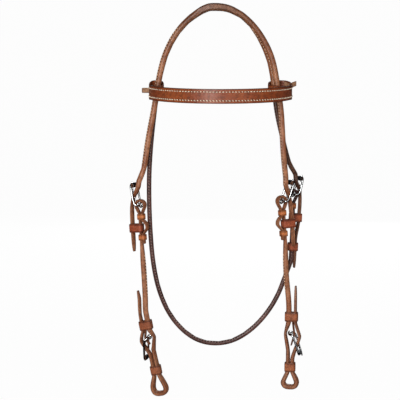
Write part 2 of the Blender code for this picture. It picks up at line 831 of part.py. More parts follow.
def keeper(name, station, inside, reach, height, wall, finish):
    """A leather band round the straps, from its inside (low, high, half width)."""
    low, high, half_wide = inside
    inner = rounded_outline(low, high, half_wide, KEEPER_CORNER)
    outer = rounded_outline(low - wall, high + wall, half_wide + wall, KEEPER_CORNER + wall)
    mesh = bmesh.new()
    levels = (-reach - height / 2, -reach + height / 2)
    rings = [
        [mesh.verts.new(station.strap(out, wide, along)) for out, wide in outline]
        for outline in (inner, outer)
        for along in levels
    ]
    for first, second in ((0, 1), (1, 3), (3, 2), (2, 0)):
        for k in range(len(inner)):
            after = (k + 1) % len(inner)
            one, two = rings[first], rings[second]
            mesh.faces.new((one[k], one[after], two[after], two[k]))
    made = add_object(name, finished_mesh(name, mesh), finish)
    set_pivot(made, station.strap(0, 0, -reach))
    return made


def fold_keeper(name, station, gauge, reach):
    reach_out = gauge.pressed + RUNNING_GAP / 2 + KEEPER_PLAY
    inside = (-reach_out, reach_out, gauge.width / 2 + KEEPER_PLAY)
    return keeper(name, station, inside, reach, FOLD_KEEPER_HEIGHT, KEEPER_WALL, "tan")


def wide_keeper(name, station, gauge, billet_out, reach):
    """Round the running strap and the billet, between the strap and its bight."""
    low = RUNNING_GAP / 2 - KEEPER_PLAY
    high = billet_out + gauge.billet / 2 + KEEPER_PLAY
    inside = (low, high, gauge.billet_width / 2 + KEEPER_PLAY)
    return keeper(name, station, inside, reach, WIDE_KEEPER_HEIGHT, WIDE_KEEPER_WALL, "red")


def upper_buckle_set(side, station):
    fold_keeper(f"{side}_upper_fold_keeper", station, CHEEK_GAUGE, FOLD_KEEPER_REACH)
    fold_keeper(f"{side}_lower_fold_keeper", station, CHEEK_GAUGE, LOWER_FOLD_KEEPER_REACH)
    wide_keeper(
        f"{side}_cheek_billet_keeper", station, CHEEK_GAUGE, BILLET_OUT, WIDE_KEEPER_REACH
    )
    buckle_frame(f"{side}_cheek_buckle_frame", station, CHEEK_BUCKLE)
    buckle_tongue(f"{side}_cheek_buckle_tongue", station, CHEEK_BUCKLE)


# The crown


def strand_drop(station, hand, shares, depth, gauge):
    """From the browband's loops down to the far bar, one stop for each share pair."""
    stops = []
    for across_share, down_share in shares:
        across = between(HEAD_HALF_WIDTH, abs(station.heel.x), across_share)
        down = between(BAND_DROP, -station.heel.z, down_share)
        size = between(CROWN_STRAND, gauge.rolled, down_share)
        stops.append(Stop((hand * across, depth, -down), (0, 1, 0), size, size))
    return stops


def cheek_billet_stops(station, gauge):
    """From under the far bar to the billet's tip."""
    stops = crossing_stops(station, CHEEK_BUCKLE, gauge, gauge.rolled, gauge.rolled)
    keeper_top = -WIDE_KEEPER_REACH + WIDE_KEEPER_HEIGHT
    stops.append(billet_stop(station, gauge, BILLET_OUT, keeper_top, True))
    stops.append(billet_stop(station, gauge, BILLET_OUT, -LOWER_FOLD_KEEPER_REACH))
    return stops + tip_stops(station, gauge, BILLET_OUT, -CHEEK_BILLET_LENGTH)


def arch_stops(depth_left, depth_right, spread, ends):
    """One strand over the poll, from the left loop of the browband to the right one."""
    top = PAD_THICKNESS / 2
    stops = []

    def stop(across, depth, down, keep=False):
        return Stop((across, depth, -down), (0, 1, 0), CROWN_STRAND, CROWN_STRAND, 1.0, keep)

    for across_share, down_share in LEFT_ARCH_SHARES[1 - ends :]:
        across = -HEAD_HALF_WIDTH * across_share
        stops.append(stop(across, depth_left, BAND_DROP * down_share))
    across_share, down_share = LEFT_CROWN_SHARE
    stops.append(stop(-HEAD_HALF_WIDTH * across_share, depth_left, BAND_DROP * down_share))
    for hand in (-1, 1):
        stops.append(stop(hand * PAD_REST_LENGTH / 2, depth_left, -top, True))
    across_share, down_share = RIGHT_CROWN_SHARE
    stops.append(stop(HEAD_HALF_WIDTH * across_share, depth_left, BAND_DROP * down_share))
    for (across_share, down_share), spread_share in zip(RIGHT_ARCH_SHARES, RIGHT_SPREAD_SHARES):
        across = HEAD_HALF_WIDTH * across_share + spread * spread_share
        depth = between(depth_left, depth_right, spread_share)
        stops.append(stop(across, depth, BAND_DROP * down_share))
    return stops


def pad_stops():
    """The flattened middle of the crown, which runs out between its two strands."""
    top = PAD_THICKNESS / 2

    def stop(across, down, share, keep=False):
        width, thickness = PAD_WIDTH * share, PAD_THICKNESS * share
        return Stop((across, 0, -down), (0, 1, 0), width, thickness, FLAT_SQUARE, keep)

    stops = []
    for hand, crown, arch in (
        (-1, LEFT_CROWN_SHARE, LEFT_ARCH_SHARES[-1]),
        (1, RIGHT_CROWN_SHARE, RIGHT_ARCH_SHARES[0]),
    ):
        near = stop(hand * PAD_REST_LENGTH / 2, -top, PAD_SHARES[0], True)
        middle = stop(hand * HEAD_HALF_WIDTH * crown[0], BAND_DROP * crown[1], PAD_SHARES[1])
        far = stop(hand * HEAD_HALF_WIDTH * arch[0], BAND_DROP * arch[1], PAD_SHARES[2])
        stops.append([near, middle, far])
    return list(reversed(stops[0])) + stops[1]


def swing_drop():
    """How far below the origin the throat strands bend, inside the browband's loops."""
    return BAND_DROP + BAND_HEIGHT / 2 - SPLICE_INSET


def splice_place(hand):
    inward = RIGHT_SPREAD if hand > 0 else 0.0
    return Vector((hand * HEAD_HALF_WIDTH - inward, REAR, -swing_drop()))


def crown():
    """One strap: two strands joined over the poll by a flattened pad."""
    gauge = CHEEK_GAUGE
    left = cheek_billet_stops(LEFT_TOP, gauge)
    right = cheek_billet_stops(RIGHT_TOP, gauge)
    front_stops = list(reversed(left))
    front_stops += list(reversed(strand_drop(LEFT_TOP, -1, LEFT_DROP_SHARES, FRONT, gauge)))
    front_stops += arch_stops(FRONT, FRONT * TIP_SHARE, RIGHT_SPREAD, 1)
    front_stops += strand_drop(RIGHT_TOP, 1, RIGHT_DROP_SHARES, FRONT, gauge)
    front = sweep("crown", front_stops + right, "crown")

    reach = THROAT_STRAND / 2 + RUNNING_GAP
    rear_stops = arch_stops(REAR, REAR, -RIGHT_SPREAD, 0)
    for hand, at in ((-1, 0), (1, len(rear_stops))):
        end = splice_place(hand) + Vector((0, 0, reach))
        size = THROAT_STRAND
        rear_stops.insert(at, Stop(end, (0, 1, 0), size, size, keep=True))
    rear_stops.pop(-2)
    rear = sweep("guide_rear_strand", rear_stops, None)
    pad = sweep("guide_crown_pad", pad_stops(), None)
    combine(front, rear, "UNION")
    combine(front, pad, "UNION")
    for side, station in (("left", LEFT_TOP), ("right", RIGHT_TOP)):
        name = f"guide_{side}_cheek_billet_hole"
        cut_billet_hole(front, station, CHEEK_BUCKLE, gauge, name)


# The cheek straps


def bit_strap_stops(station, gauge, loop_length, keeper_reach, turn_in):
    """From the upper keeper past the eye, round the bit and back up to the billet's tip."""
    buckle = CHEEK_BUCKLE
    side = station.wide
    aside = (BIT_STRAND_THICKNESS + RUNNING_GAP) / 2
    bow = buckle.eye_radius + EYE_PLAY + gauge.fold / 2
    keeper_end = BIT_KEEPER_REACH + BIT_KEEPER_HEIGHT / 2
    keeper_start = BIT_KEEPER_REACH - BIT_KEEPER_HEIGHT / 2
    upper_low = -keeper_reach + BIT_KEEPER_HEIGHT / 2
    upper_high = -keeper_reach - BIT_KEEPER_HEIGHT / 2

    def strand(out, along, keep=False):
        place = station.strap(out, 0, along)
        size = (BIT_STRAND_WIDTH, BIT_STRAND_THICKNESS)
        return Stop(place, side, *size, PRESSED_SQUARE, keep)

    def rolled(out, along, keep=False):
        place = station.strap(out, 0, along)
        return Stop(place, side, gauge.rolled, gauge.rolled, 1.0, keep)

    def loop(out, along, keep=False):
        place = station.strap(out, 0, along)
        size = (BIT_STRAP_WIDTH, BIT_STRAP_THICKNESS)
        return Stop(place, side, *size, FLAT_SQUARE, keep)

    stops = [rolled(-BIT_STRAP_IN, upper_high - SLIDE_ROOM, True)]
    stops.append(rolled(-BIT_STRAP_IN, upper_low, True))
    stops.append(strand(-bow, 0))
    stops[-1].thickness = gauge.fold
    stops.append(strand(-aside, -upper_low))
    stops += [strand(-aside, keeper_start, True), strand(-aside, keeper_end, True)]
    bottom = loop_length - BIT_STRAP_THICKNESS / 2
    half = (BIT_LOOP_WIDTH - BIT_STRAP_THICKNESS) / 2
    ring = []
    for out_share, along_share in LOOP_SHARES:
        ring.append((half * out_share, between(keeper_end, bottom, along_share)))
    stops += [loop(-out, along) for out, along in ring]
    stops += [loop(hand * BIT_REST_LENGTH / 2, bottom, True) for hand in (-1, 1)]
    stops += [loop(out, along) for out, along in reversed(ring)]
    stops.append(strand(aside, keeper_end, True))
    stops.append(strand(aside, keeper_start - KEEPER_SLIDE, True))
    under = crossing_stops(station, buckle, gauge, BIT_STRAND_THICKNESS, BIT_STRAND_WIDTH)[1:]
    middle = strand(aside, buckle.far_high)
    middle.place = (stops[-1].place + under[0].place) / 2
    stops += [middle] + under
    stops.append(billet_stop(station, gauge, BIT_BILLET_BULGE, 0))
    out = bit_billet_out(gauge)
    stops.append(billet_stop(station, gauge, out, upper_low, True))
    stops.append(billet_stop(station, gauge, out, upper_high - SLIDE_ROOM, True))
    tip_start = -BIT_BILLET_LENGTH + TIP_TAPER
    halfway = (upper_high - SLIDE_ROOM + tip_start) / 2
    stops.append(billet_stop(station, gauge, out - turn_in / 2, halfway))
    return stops + tip_stops(station, gauge, out - turn_in, -BIT_BILLET_LENGTH)


def chape_out(gauge):
    """The chape's middle line where it lies against the rolled strap."""
    return -BIT_STRAP_IN + gauge.rolled / 2 + RUNNING_GAP + CHAPE_THICKNESS / 2


def bit_billet_out(gauge):
    return chape_out(gauge) + CHAPE_THICKNESS / 2 + 2 * RUNNING_GAP + gauge.billet / 2


def cheek_strap(side, top, bit, shares, loop_length, keeper_reach, turn_in):
    """One strap: tail, bight, upper eye, run, lower eye, bit loop, billet."""
    gauge = CHEEK_GAUGE
    stops = cheek_fold_stops(top, CHEEK_BUCKLE, gauge)
    rolled_from = top.strap(beside(gauge), 0, -TAIL_REACH - gauge.rolled)
    lower = bit_strap_stops(bit, gauge, loop_length, keeper_reach, turn_in)
    stops.append(Stop(rolled_from, top.wide, gauge.rolled, gauge.rolled))
    for across_share, down_share in shares:
        across = between(rolled_from.x, lower[0].place.x, across_share)
        down = between(rolled_from.z, lower[0].place.z, down_share)
        depth = between(rolled_from.y, lower[0].place.y, down_share)
        side_way = top.wide.lerp(bit.wide if bit.wide.dot(top.wide) > 0 else -bit.wide, down_share)
        stops.append(Stop((across, depth, down), side_way, gauge.rolled, gauge.rolled))
    if bit.wide.dot(top.wide) < 0:
        for stop in lower:
            stop.side = -stop.side
    made = sweep(f"{side}_cheek_strap", stops + lower, "crown")
    cut_eye_slot(made, top, CHEEK_BUCKLE, f"guide_{side}_cheek_eye_slot")
    cut_billet_hole(made, bit, CHEEK_BUCKLE, gauge, f"guide_{side}_bit_billet_hole")


def bit_buckle_set(side, station, keeper_reach):
    gauge, buckle = CHEEK_GAUGE, CHEEK_BUCKLE
    out = chape_out(gauge)
    lower_out = (BIT_STRAND_THICKNESS - RUNNING_GAP + CHAPE_THICKNESS) / 2 + RUNNING_GAP / 2
    upper_low = -keeper_reach + BIT_KEEPER_HEIGHT / 2
    places = (
        (out, -keeper_reach, True),
        (out, upper_low, True),
        (buckle.eye_radius + CHAPE_THICKNESS / 2, 0, False),
        (lower_out - BIT_STRAND_THICKNESS / 2 + RUNNING_GAP, -upper_low, False),
    )
    stops = [
        Stop(
            station.strap(place_out, 0, along),
            station.wide,
            gauge.width,
            CHAPE_THICKNESS,
            FLAT_SQUARE,
            keep,
        )
        for place_out, along, keep in places
    ]
    made = sweep(f"{side}_bit_chape", stops, "crown")
    cut_eye_slot(made, station, buckle, f"guide_{side}_chape_slot")
    buckle_frame(f"{side}_bit_buckle_frame", station, buckle)
    buckle_tongue(f"{side}_bit_buckle_tongue", station, buckle)

    low = -BIT_STRAP_IN - gauge.rolled / 2 - KEEPER_PLAY
    high = bit_billet_out(gauge) + gauge.billet / 2 + KEEPER_PLAY
    inside = (low, high, gauge.billet_width / 2 + KEEPER_PLAY)
    name = f"{side}_bit_billet_keeper"
    keeper(name, station, inside, keeper_reach, BIT_KEEPER_HEIGHT, KEEPER_WALL, "tan")
    reach_out = BIT_STRAND_THICKNESS + RUNNING_GAP / 2 + KEEPER_PLAY
    inside = (-reach_out, reach_out, BIT_STRAND_WIDTH / 2 + KEEPER_PLAY)
    name = f"{side}_bit_strap_keeper"
    keeper(name, station, inside, -BIT_KEEPER_REACH, BIT_KEEPER_HEIGHT, KEEPER_WALL, "tan")


# The throatlatch


def ball_stops(centre, direction, size):
    """A round end centred on the bend, so that the strand can swing about it."""
    stops = []
    for degrees in (22, 52, 90):
        angle = math.radians(degrees)
        place = centre - direction * (size / 2 * math.cos(angle))
        width = size * math.sin(angle)
        stops.append(Stop(place, (0, 1, 0), width, width, keep=True))
    return stops


def throatlatch():
    gauge, station = THROAT_GAUGE, THROAT_TOP
    start = splice_place(-1)
    route = []
    for across_share, down_share, back_share in THROATLATCH_SHARES:
        place = Vector(
            (
                THROAT_HEEL_ACROSS * across_share,
                THROAT_SET_BACK * back_share,
                -THROAT_DEPTH * down_share,
            )
        )
        route.append(Stop(place, (0, 1, 0), gauge.rolled, gauge.rolled))
    direction = (route[0].place - start).normalized()
    stops = ball_stops(start, direction, gauge.rolled) + route
    fold_end = FOLD_KEEPER_REACH + FOLD_KEEPER_HEIGHT / 2
    for reach in (THROAT_TIP_KEEPER_REACH + SLIDE_ROOM + WIDE_KEEPER_HEIGHT / 2, THROAT_TAIL_REACH):
        place = station.strap(beside(gauge), 0, -reach)
        stops.append(Stop(place, station.wide, gauge.rolled, gauge.rolled, 1.0, True))
    end = -fold_end - KEEPER_WALL
    below = end - KEEPER_WALL
    stops.append(fold_stop(station, gauge, beside(gauge), below, gauge.pressed, True))
    stops += list(reversed(eye_stops(station, THROAT_BUCKLE, gauge)))
    stops.append(fold_stop(station, gauge, -beside(gauge), end, gauge.pressed, True))
    made = sweep("throatlatch", stops, "throat")
    cut_eye_slot(made, station, THROAT_BUCKLE, "guide_throat_eye_slot")
    return made


def throat_billet_strap():
    gauge, station = THROAT_GAUGE, THROAT_TOP
    start = splice_place(1)
    route = []
    for across_share, down_share, back_share in THROAT_DROP_SHARES:
        place = Vector(
            (
                between(start.x, station.heel.x, across_share),
                between(start.y, station.heel.y, back_share),
                between(start.z, station.heel.z, down_share),
            )
        )
        route.append(Stop(place, (0, 1, 0), gauge.rolled, gauge.rolled))
    direction = (route[0].place - start).normalized()
    stops = ball_stops(start, direction, gauge.rolled) + route
    stops += crossing_stops(station, THROAT_BUCKLE, gauge, gauge.rolled, gauge.rolled)
    for along in (WIDE_KEEPER_HEIGHT / 2, -WIDE_KEEPER_HEIGHT / 2):
        level = along - THROAT_KEEPER_REACH
        stops.append(billet_stop(station, gauge, THROAT_BILLET_OUT, level, True))
    out = throat_tip_out(gauge)
    keeper_top = -THROAT_TIP_KEEPER_REACH + WIDE_KEEPER_HEIGHT / 2
    stops.append(billet_stop(station, gauge, out, keeper_top + KEEPER_SLIDE, True))
    stops += tip_stops(station, gauge, out, -THROAT_BILLET_LENGTH)
    made = sweep("throat_billet_strap", stops, "throat")
    cut_billet_hole(made, station, THROAT_BUCKLE, gauge, "guide_throat_billet_hole")
    return made


def throat_tip_out(gauge):
    return beside(gauge) + gauge.rolled / 2 + RUNNING_GAP + gauge.billet / 2


def throat_keeper(name, station, gauge, billet_out, reach):
    """Round the whole running strand and the billet that lies along it."""
    low = beside(gauge) - gauge.rolled / 2 - KEEPER_PLAY
    high = billet_out + gauge.billet / 2 + KEEPER_PLAY
    inside = (low, high, gauge.billet_width / 2 + KEEPER_PLAY)
    return keeper(name, station, inside, reach, WIDE_KEEPER_HEIGHT, WIDE_KEEPER_WALL, "red")


def throat_buckle_set():
    gauge, station, buckle = THROAT_GAUGE, THROAT_TOP, THROAT_BUCKLE
    tip_out = throat_tip_out(gauge)
    return [
        fold_keeper("throat_fold_keeper", station, gauge, FOLD_KEEPER_REACH),
        throat_keeper(
            "throat_billet_keeper", station, gauge, THROAT_BILLET_OUT, THROAT_KEEPER_REACH
        ),
        throat_keeper("throat_tip_keeper", station, gauge, tip_out, THROAT_TIP_KEEPER_REACH),
        buckle_frame("throat_buckle_frame", station, buckle),
        buckle_tongue("throat_buckle_tongue", station, buckle),
    ]


def swing_axis(pieces):
    """An empty on the line that the whole throatlatch swings about."""
    axis = bpy.data.objects.new("throat_swing_axis", None)
    axis.location = (0, REAR, -swing_drop())
    bpy.context.collection.objects.link(axis)
    for piece in pieces:
        piece.parent = axis
        piece.location -= axis.location


# The browband


def band_depth_lift(depth):
    """How high the band's middle line is at a depth: lower in front, higher behind."""
    rear = loop_rear_depth()
    if depth < 0:
        return -BAND_DROP + BAND_SAG * depth / BAND_BOW
    return -BAND_DROP + LOOP_LIFT * min(depth / rear, 1.0)


def loop_rear_depth():
    """The middle line of the face layer where it passes behind the rear strand."""
    return REAR + CROWN_STRAND / 2 + LOOP_REAR_PLAY + BAND_FACE / 2


def front_stop(degrees, inset, hand, thickness, keep=False):
    """A stop on the bowed front: 0 degrees at the outermost point, 90 at the middle."""
    angle = math.radians(degrees)
    across = (BAND_HALF_SPAN - BAND_FACE / 2 - inset) * math.cos(angle)
    depth = -(BAND_BOW - BAND_FACE / 2 - inset) * math.sin(angle)
    place = (BAND_SHIFT + hand * across, depth, band_depth_lift(depth))
    return Stop(place, (0, 0, 1), BAND_HEIGHT, thickness, BAND_SQUARE, keep)


def loop_inner(hand):
    """How far across the inner side of a loop lies, on its middle line."""
    strand = THROAT_STRAND if hand > 0 else CROWN_STRAND
    edge = HEAD_HALF_WIDTH - strand / 2 - LOOP_PLAY - BAND_FACE / 2
    return hand * (edge - (RIGHT_SPREAD if hand > 0 else 0.0))


def loop_outer(hand):
    """How far across the outer side of a loop lies, on its middle line."""
    return BAND_SHIFT + hand * (BAND_HALF_SPAN - BAND_FACE / 2)


def loop_stops(hand):
    """From the tucked end round behind the strands to the band's outermost point."""
    tuck = BAND_FACE + BAND_LINING + RUNNING_GAP + TUCK_PLAY
    stops = [front_stop(degrees, tuck, hand, BAND_FACE) for degrees in (34, 26, 19)]
    inner = loop_inner(hand)
    outer = loop_outer(hand)
    rear = loop_rear_depth()
    middle, half = (inner + outer) / 2, abs(outer - inner) / 2

    def stop(across, depth):
        place = (across, depth, band_depth_lift(depth))
        return Stop(place, (0, 0, 1), BAND_HEIGHT, BAND_FACE, BAND_SQUARE)

    stops.append(stop(inner, FRONT - CROWN_STRAND / 2 - LOOP_PLAY / 2))
    for degrees in (180, 150, 120, 90, 60, 30):
        angle = math.radians(degrees)
        level, deep = math.cos(angle), math.sin(angle)
        level = math.copysign(abs(level) ** LOOP_SQUARE, level)
        stops.append(stop(middle + hand * half * level, rear * deep**LOOP_SQUARE))
    return stops


def browband_stops():
    left, right = loop_stops(-1), loop_stops(1)
    front = [front_stop(degrees, 0, -1, BAND_FACE) for degrees in (0, 14, 30, 50, 70)]
    front.append(front_stop(90, 0, 1, BAND_FACE))
    front += [front_stop(degrees, 0, 1, BAND_FACE) for degrees in (70, 50, 30, 14, 0)]
    return left + front + list(reversed(right))


def loop_index(fine, hand, depth):
    """The fine stop on a loop's outer side that lies nearest to a depth."""
    middle = (loop_inner(hand) + loop_outer(hand)) / 2
    outer = [i for i, stop in enumerate(fine) if hand * (stop.place.x - middle) > 0]
    return min(outer, key=lambda i: abs(fine[i].place.y - depth))


def tie_stops(fine, at, hand, rise, reach, tilt, play):
    """A lace that lies along the inside of a loop, turns, and sticks out through it."""
    width, thickness = TIE_WIDTH + 2 * play, TIE_THICKNESS + 2 * play
    away = BAND_FACE / 2 + TIE_PLAY + TIE_THICKNESS / 2
    lift = Vector((0, 0, rise))

    def ways(i):
        """The directions toward the loop's rear and out of its side."""
        way = heading(fine, i, False) * hand
        return way, Vector((-way.y, way.x, 0.0)).normalized() * -1

    behind = at
    while (fine[behind].place - fine[at].place).length < TIE_LEG:
        behind += hand
    rear_way, rear_out = ways(behind)
    way, outward = ways(at)
    if outward.x * hand < 0:
        outward = -outward
    if rear_out.dot(outward) < 0:
        rear_out = -rear_out
    here = fine[at].place + lift
    turned = math.sin(math.radians(45))
    places = (
        (fine[behind].place + lift - rear_out * away, True),
        (here + way * TIE_BEND - outward * away, False),
        (here + way * TIE_BEND * (1 - turned) - outward * (away - TIE_BEND * (1 - turned)), False),
        (here - outward * (away - TIE_BEND), True),
        (here + outward * (BAND_FACE / 2 + reach) + Vector((0, 0, tilt)), True),
    )
    return [Stop(place, (0, 0, 1), width, thickness, BAND_SQUARE, keep) for place, keep in places]


def browband():
    stops = browband_stops()
    face = upright_sweep("browband_face", stops, "band")
    lining_inset = (BAND_FACE + BAND_LINING) / 2 + RUNNING_GAP
    lining = [front_stop(degrees, lining_inset, -1, BAND_LINING) for degrees in (4, 14, 30, 50, 70)]
    lining.append(front_stop(90, lining_inset, 1, BAND_LINING))
    lining += [
        front_stop(degrees, lining_inset, 1, BAND_LINING) for degrees in (70, 50, 30, 14, 4)
    ]
    upright_sweep("browband_lining", lining, "lining")
    fine = smooth_stops(stops)
    for side, hand, depth, *route in (
        ("left", -1, LEFT_TIE_DEPTH, LEFT_TIE_RISE, LEFT_TIE_REACH, 0.0),
        ("right", 1, RIGHT_TIE_DEPTH, RIGHT_TIE_RISE, RIGHT_TIE_REACH, RIGHT_TIE_TILT),
    ):
        edge = loop_index(fine, hand, depth)
        upright_sweep(f"{side}_browband_tie", tie_stops(fine, edge, hand, *route, 0.0), "lace")
        hole = tie_stops(fine, edge, hand, *route, TIE_SLOT_PLAY)[-2:]
        back = (hole[0].place - hole[1].place).normalized()
        hole[0].place += back * TIE_BEND
        tool = upright_sweep(f"guide_{side}_tie_hole", hole, None)
        combine(face, tool, "DIFFERENCE")


def headstall():
    clear_scene()
    crown()
    browband()
    for side, top, bit, shares, loop_length, keeper_reach, turn_in in (
        (
            "left",
            LEFT_TOP,
            LEFT_BIT,
            LEFT_CHEEK_SHARES,
            LEFT_BIT_LOOP_LENGTH,
            LEFT_BILLET_KEEPER_REACH,
            LEFT_BILLET_TURN_IN,
        ),
        (
            "right",
            RIGHT_TOP,
            RIGHT_BIT,
            RIGHT_CHEEK_SHARES,
            RIGHT_BIT_LOOP_LENGTH,
            RIGHT_BILLET_KEEPER_REACH,
            RIGHT_BILLET_TURN_IN,
        ),
    ):
        cheek_strap(side, top, bit, shares, loop_length, keeper_reach, turn_in)
        upper_buckle_set(side, top)
        bit_buckle_set(side, bit, keeper_reach)
    pieces = [throatlatch(), throat_billet_strap()] + throat_buckle_set()
    swing_axis(pieces)


headstall()
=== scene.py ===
# %% [markdown]
# A western browband headstall
#
# This lesson dresses a ready CAD model of a rolled leather headstall. The model brings the
# true sizes, the joints and the place of every piece. The scene adds what makes leather look
# like leather: soft edges, grain, burnish, stitches, and a little wear.

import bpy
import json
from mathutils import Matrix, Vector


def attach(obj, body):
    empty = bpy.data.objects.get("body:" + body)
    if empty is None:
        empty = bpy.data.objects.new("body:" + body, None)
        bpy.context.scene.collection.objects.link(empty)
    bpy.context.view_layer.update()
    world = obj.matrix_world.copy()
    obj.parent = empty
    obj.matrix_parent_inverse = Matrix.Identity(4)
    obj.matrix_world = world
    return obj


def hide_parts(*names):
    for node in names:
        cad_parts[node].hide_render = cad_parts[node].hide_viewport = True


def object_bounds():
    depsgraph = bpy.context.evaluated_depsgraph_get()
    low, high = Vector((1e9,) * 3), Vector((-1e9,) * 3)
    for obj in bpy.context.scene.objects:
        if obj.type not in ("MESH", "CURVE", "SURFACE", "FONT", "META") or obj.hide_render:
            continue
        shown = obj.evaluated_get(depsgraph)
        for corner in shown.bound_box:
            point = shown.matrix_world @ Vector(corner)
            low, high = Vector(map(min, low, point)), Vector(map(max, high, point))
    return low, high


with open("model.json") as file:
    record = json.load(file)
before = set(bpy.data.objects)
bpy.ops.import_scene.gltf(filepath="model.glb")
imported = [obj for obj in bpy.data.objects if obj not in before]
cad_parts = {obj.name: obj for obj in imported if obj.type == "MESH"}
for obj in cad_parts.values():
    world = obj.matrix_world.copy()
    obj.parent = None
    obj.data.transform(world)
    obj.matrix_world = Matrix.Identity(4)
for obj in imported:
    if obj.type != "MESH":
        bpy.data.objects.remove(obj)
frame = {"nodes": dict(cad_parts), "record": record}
cad_low, cad_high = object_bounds()

# %% [markdown]
# The camera comes first, because every later choice is judged through it. The headstall hangs
# in front of the lens with its browband towards us, and the lens looks down on it by a few
# degrees, so the backs of the browband's loops show above its front.

# %% Camera
import json
import math

import bmesh
import bpy
import numpy as np
from mathutils import Vector, bvhtree, kdtree

MILLIMETRE = 0.001
LOOK_AT = Vector((-0.0200, 0.0, -0.2328))
LOOK_DOWN = math.radians(5)
VIEW_DISTANCE = 1.5
VIEW_WIDTH = 0.4975

camera = bpy.data.cameras.new("camera")
camera.sensor_width = 36
camera.lens = camera.sensor_width * VIEW_DISTANCE / VIEW_WIDTH
camera_stand = bpy.data.objects.new("camera", camera)
bpy.context.collection.objects.link(camera_stand)
towards_lens = Vector((0, -math.cos(LOOK_DOWN), math.sin(LOOK_DOWN)))
camera_stand.location = LOOK_AT + towards_lens * VIEW_DISTANCE
camera_stand.rotation_euler = (math.pi / 2 - LOOK_DOWN, 0, 0)
bpy.context.scene.camera = camera_stand
bpy.context.scene.view_settings.view_transform = "Standard"
print("lens", round(camera.lens, 1), "mm")

# %% [markdown]
# Catalogue pictures are taken on a white sweep: a floor that curves up into a wall, so no
# edge shows. A sweep could be a plane with a bent corner, but a short profile of points
# drawn out sideways gives the curve exactly. Its colour is white to the camera, and part of
# it stays an ordinary matt surface, so the headstall's shadow still falls on it.

# %% White sweep
GLOW_SHARE = 0.97
WHITE_PAINT = (0.9, 0.9, 0.9, 1)
FLOOR_GAP = 0.4 * MILLIMETRE
FLOOR_LEVEL = cad_low.z - FLOOR_GAP
FLOOR_FRONT, FLOOR_BACK, HALF_WIDTH, BEND_RADIUS, WALL_TOP = -4.0, 2.4, 4.0, 1.0, 4.0


def node_material(name):
    """A new material with its nodes, its links and its main shader."""
    made = bpy.data.materials.new(name)
    made.use_nodes = True
    tree = made.node_tree
    return made, tree.nodes, tree.links, tree.nodes["Principled BSDF"]


def seen_directly(nodes, links):
    """1 for rays that show the background itself: from the lens, or by way of metal or glass."""
    path = nodes.new("ShaderNodeLightPath")
    first = nodes.new("ShaderNodeMath")
    first.operation = "MAXIMUM"
    links.new(path.outputs["Is Camera Ray"], first.inputs[0])
    links.new(path.outputs["Is Glossy Ray"], first.inputs[1])
    both = nodes.new("ShaderNodeMath")
    both.operation = "MAXIMUM"
    links.new(first.outputs[0], both.inputs[0])
    links.new(path.outputs["Is Transmission Ray"], both.inputs[1])
    return both.outputs[0]


def sweep_material():
    """Matt white paint that takes shadows, with a white glow where the background is seen."""
    made, nodes, links, shader = node_material("white_sweep")
    shader.inputs["Base Color"].default_value = WHITE_PAINT
    shader.inputs["Roughness"].default_value = 0.9
    glow = nodes.new("ShaderNodeEmission")
    share = nodes.new("ShaderNodeMath")
    share.operation = "MULTIPLY"
    share.inputs[1].default_value = GLOW_SHARE
    links.new(seen_directly(nodes, links), share.inputs[0])
    mix = nodes.new("ShaderNodeMixShader")
    links.new(share.outputs[0], mix.inputs[0])
    links.new(shader.outputs[0], mix.inputs[1])
    links.new(glow.outputs[0], mix.inputs[2])
    links.new(mix.outputs[0], nodes["Material Output"].inputs["Surface"])
    return made


profile = [(FLOOR_FRONT, 0.0), (FLOOR_BACK, 0.0)]
for degrees in range(5, 90, 5):
    turn = math.radians(degrees)
    along, up = BEND_RADIUS * math.sin(turn), BEND_RADIUS * (1 - math.cos(turn))
    profile.append((FLOOR_BACK + along, up))
profile += [(FLOOR_BACK + BEND_RADIUS, BEND_RADIUS), (FLOOR_BACK + BEND_RADIUS, WALL_TOP)]
sweep = bmesh.new()
rows = [
    [sweep.verts.new((x, y, FLOOR_LEVEL + z)) for y, z in profile]
    for x in (-HALF_WIDTH, HALF_WIDTH)
]
for i in range(len(profile) - 1):
    sweep.faces.new((rows[1][i], rows[1][i + 1], rows[0][i + 1], rows[0][i]))
sweep_mesh = bpy.data.meshes.new("white_sweep")
sweep.to_mesh(sweep_mesh)
sweep.free()
sweep_mesh.materials.append(sweep_material())
sweep_mesh.shade_smooth()
backdrop = bpy.data.objects.new("white_sweep", sweep_mesh)
bpy.context.collection.objects.link(backdrop)
print("floor at", round(FLOOR_LEVEL, 4))

# %% [markdown]
# Soft light from two large panels in front shows round leather best: each strap gets one
# long, soft highlight, and its sides fall away to dark. A third panel stands behind, out of
# sight, so that the back can be read too. The world adds a low, even light, and shows white
# to the lens, so the sweep has no visible end.

# %% Soft light
WORLD_LIGHT = 0.2

world = bpy.data.worlds.new("studio")
world.use_nodes = True
bpy.context.scene.world = world
nodes, links = world.node_tree.nodes, world.node_tree.links
level = nodes.new("ShaderNodeMix")
level.data_type = "FLOAT"
level.inputs["A"].default_value = WORLD_LIGHT
level.inputs["B"].default_value = 1.0
links.new(seen_directly(nodes, links), level.inputs["Factor"])
links.new(level.outputs["Result"], nodes["Background"].inputs["Strength"])
nodes["Background"].inputs["Color"].default_value = (1, 1, 1, 1)


def light_panel(name, place, size, watts):
    """A rectangle of soft light that faces the middle of the view."""
    lamp = bpy.data.lights.new(name, "AREA")
    lamp.shape = "RECTANGLE"
    lamp.size, lamp.size_y = size
    lamp.energy = watts
    stand = bpy.data.objects.new(name, lamp)
    stand.location = place
    aim = LOOK_AT - stand.location
    stand.rotation_euler = aim.to_track_quat("-Z", "Y").to_euler()
    bpy.context.collection.objects.link(stand)
    return stand


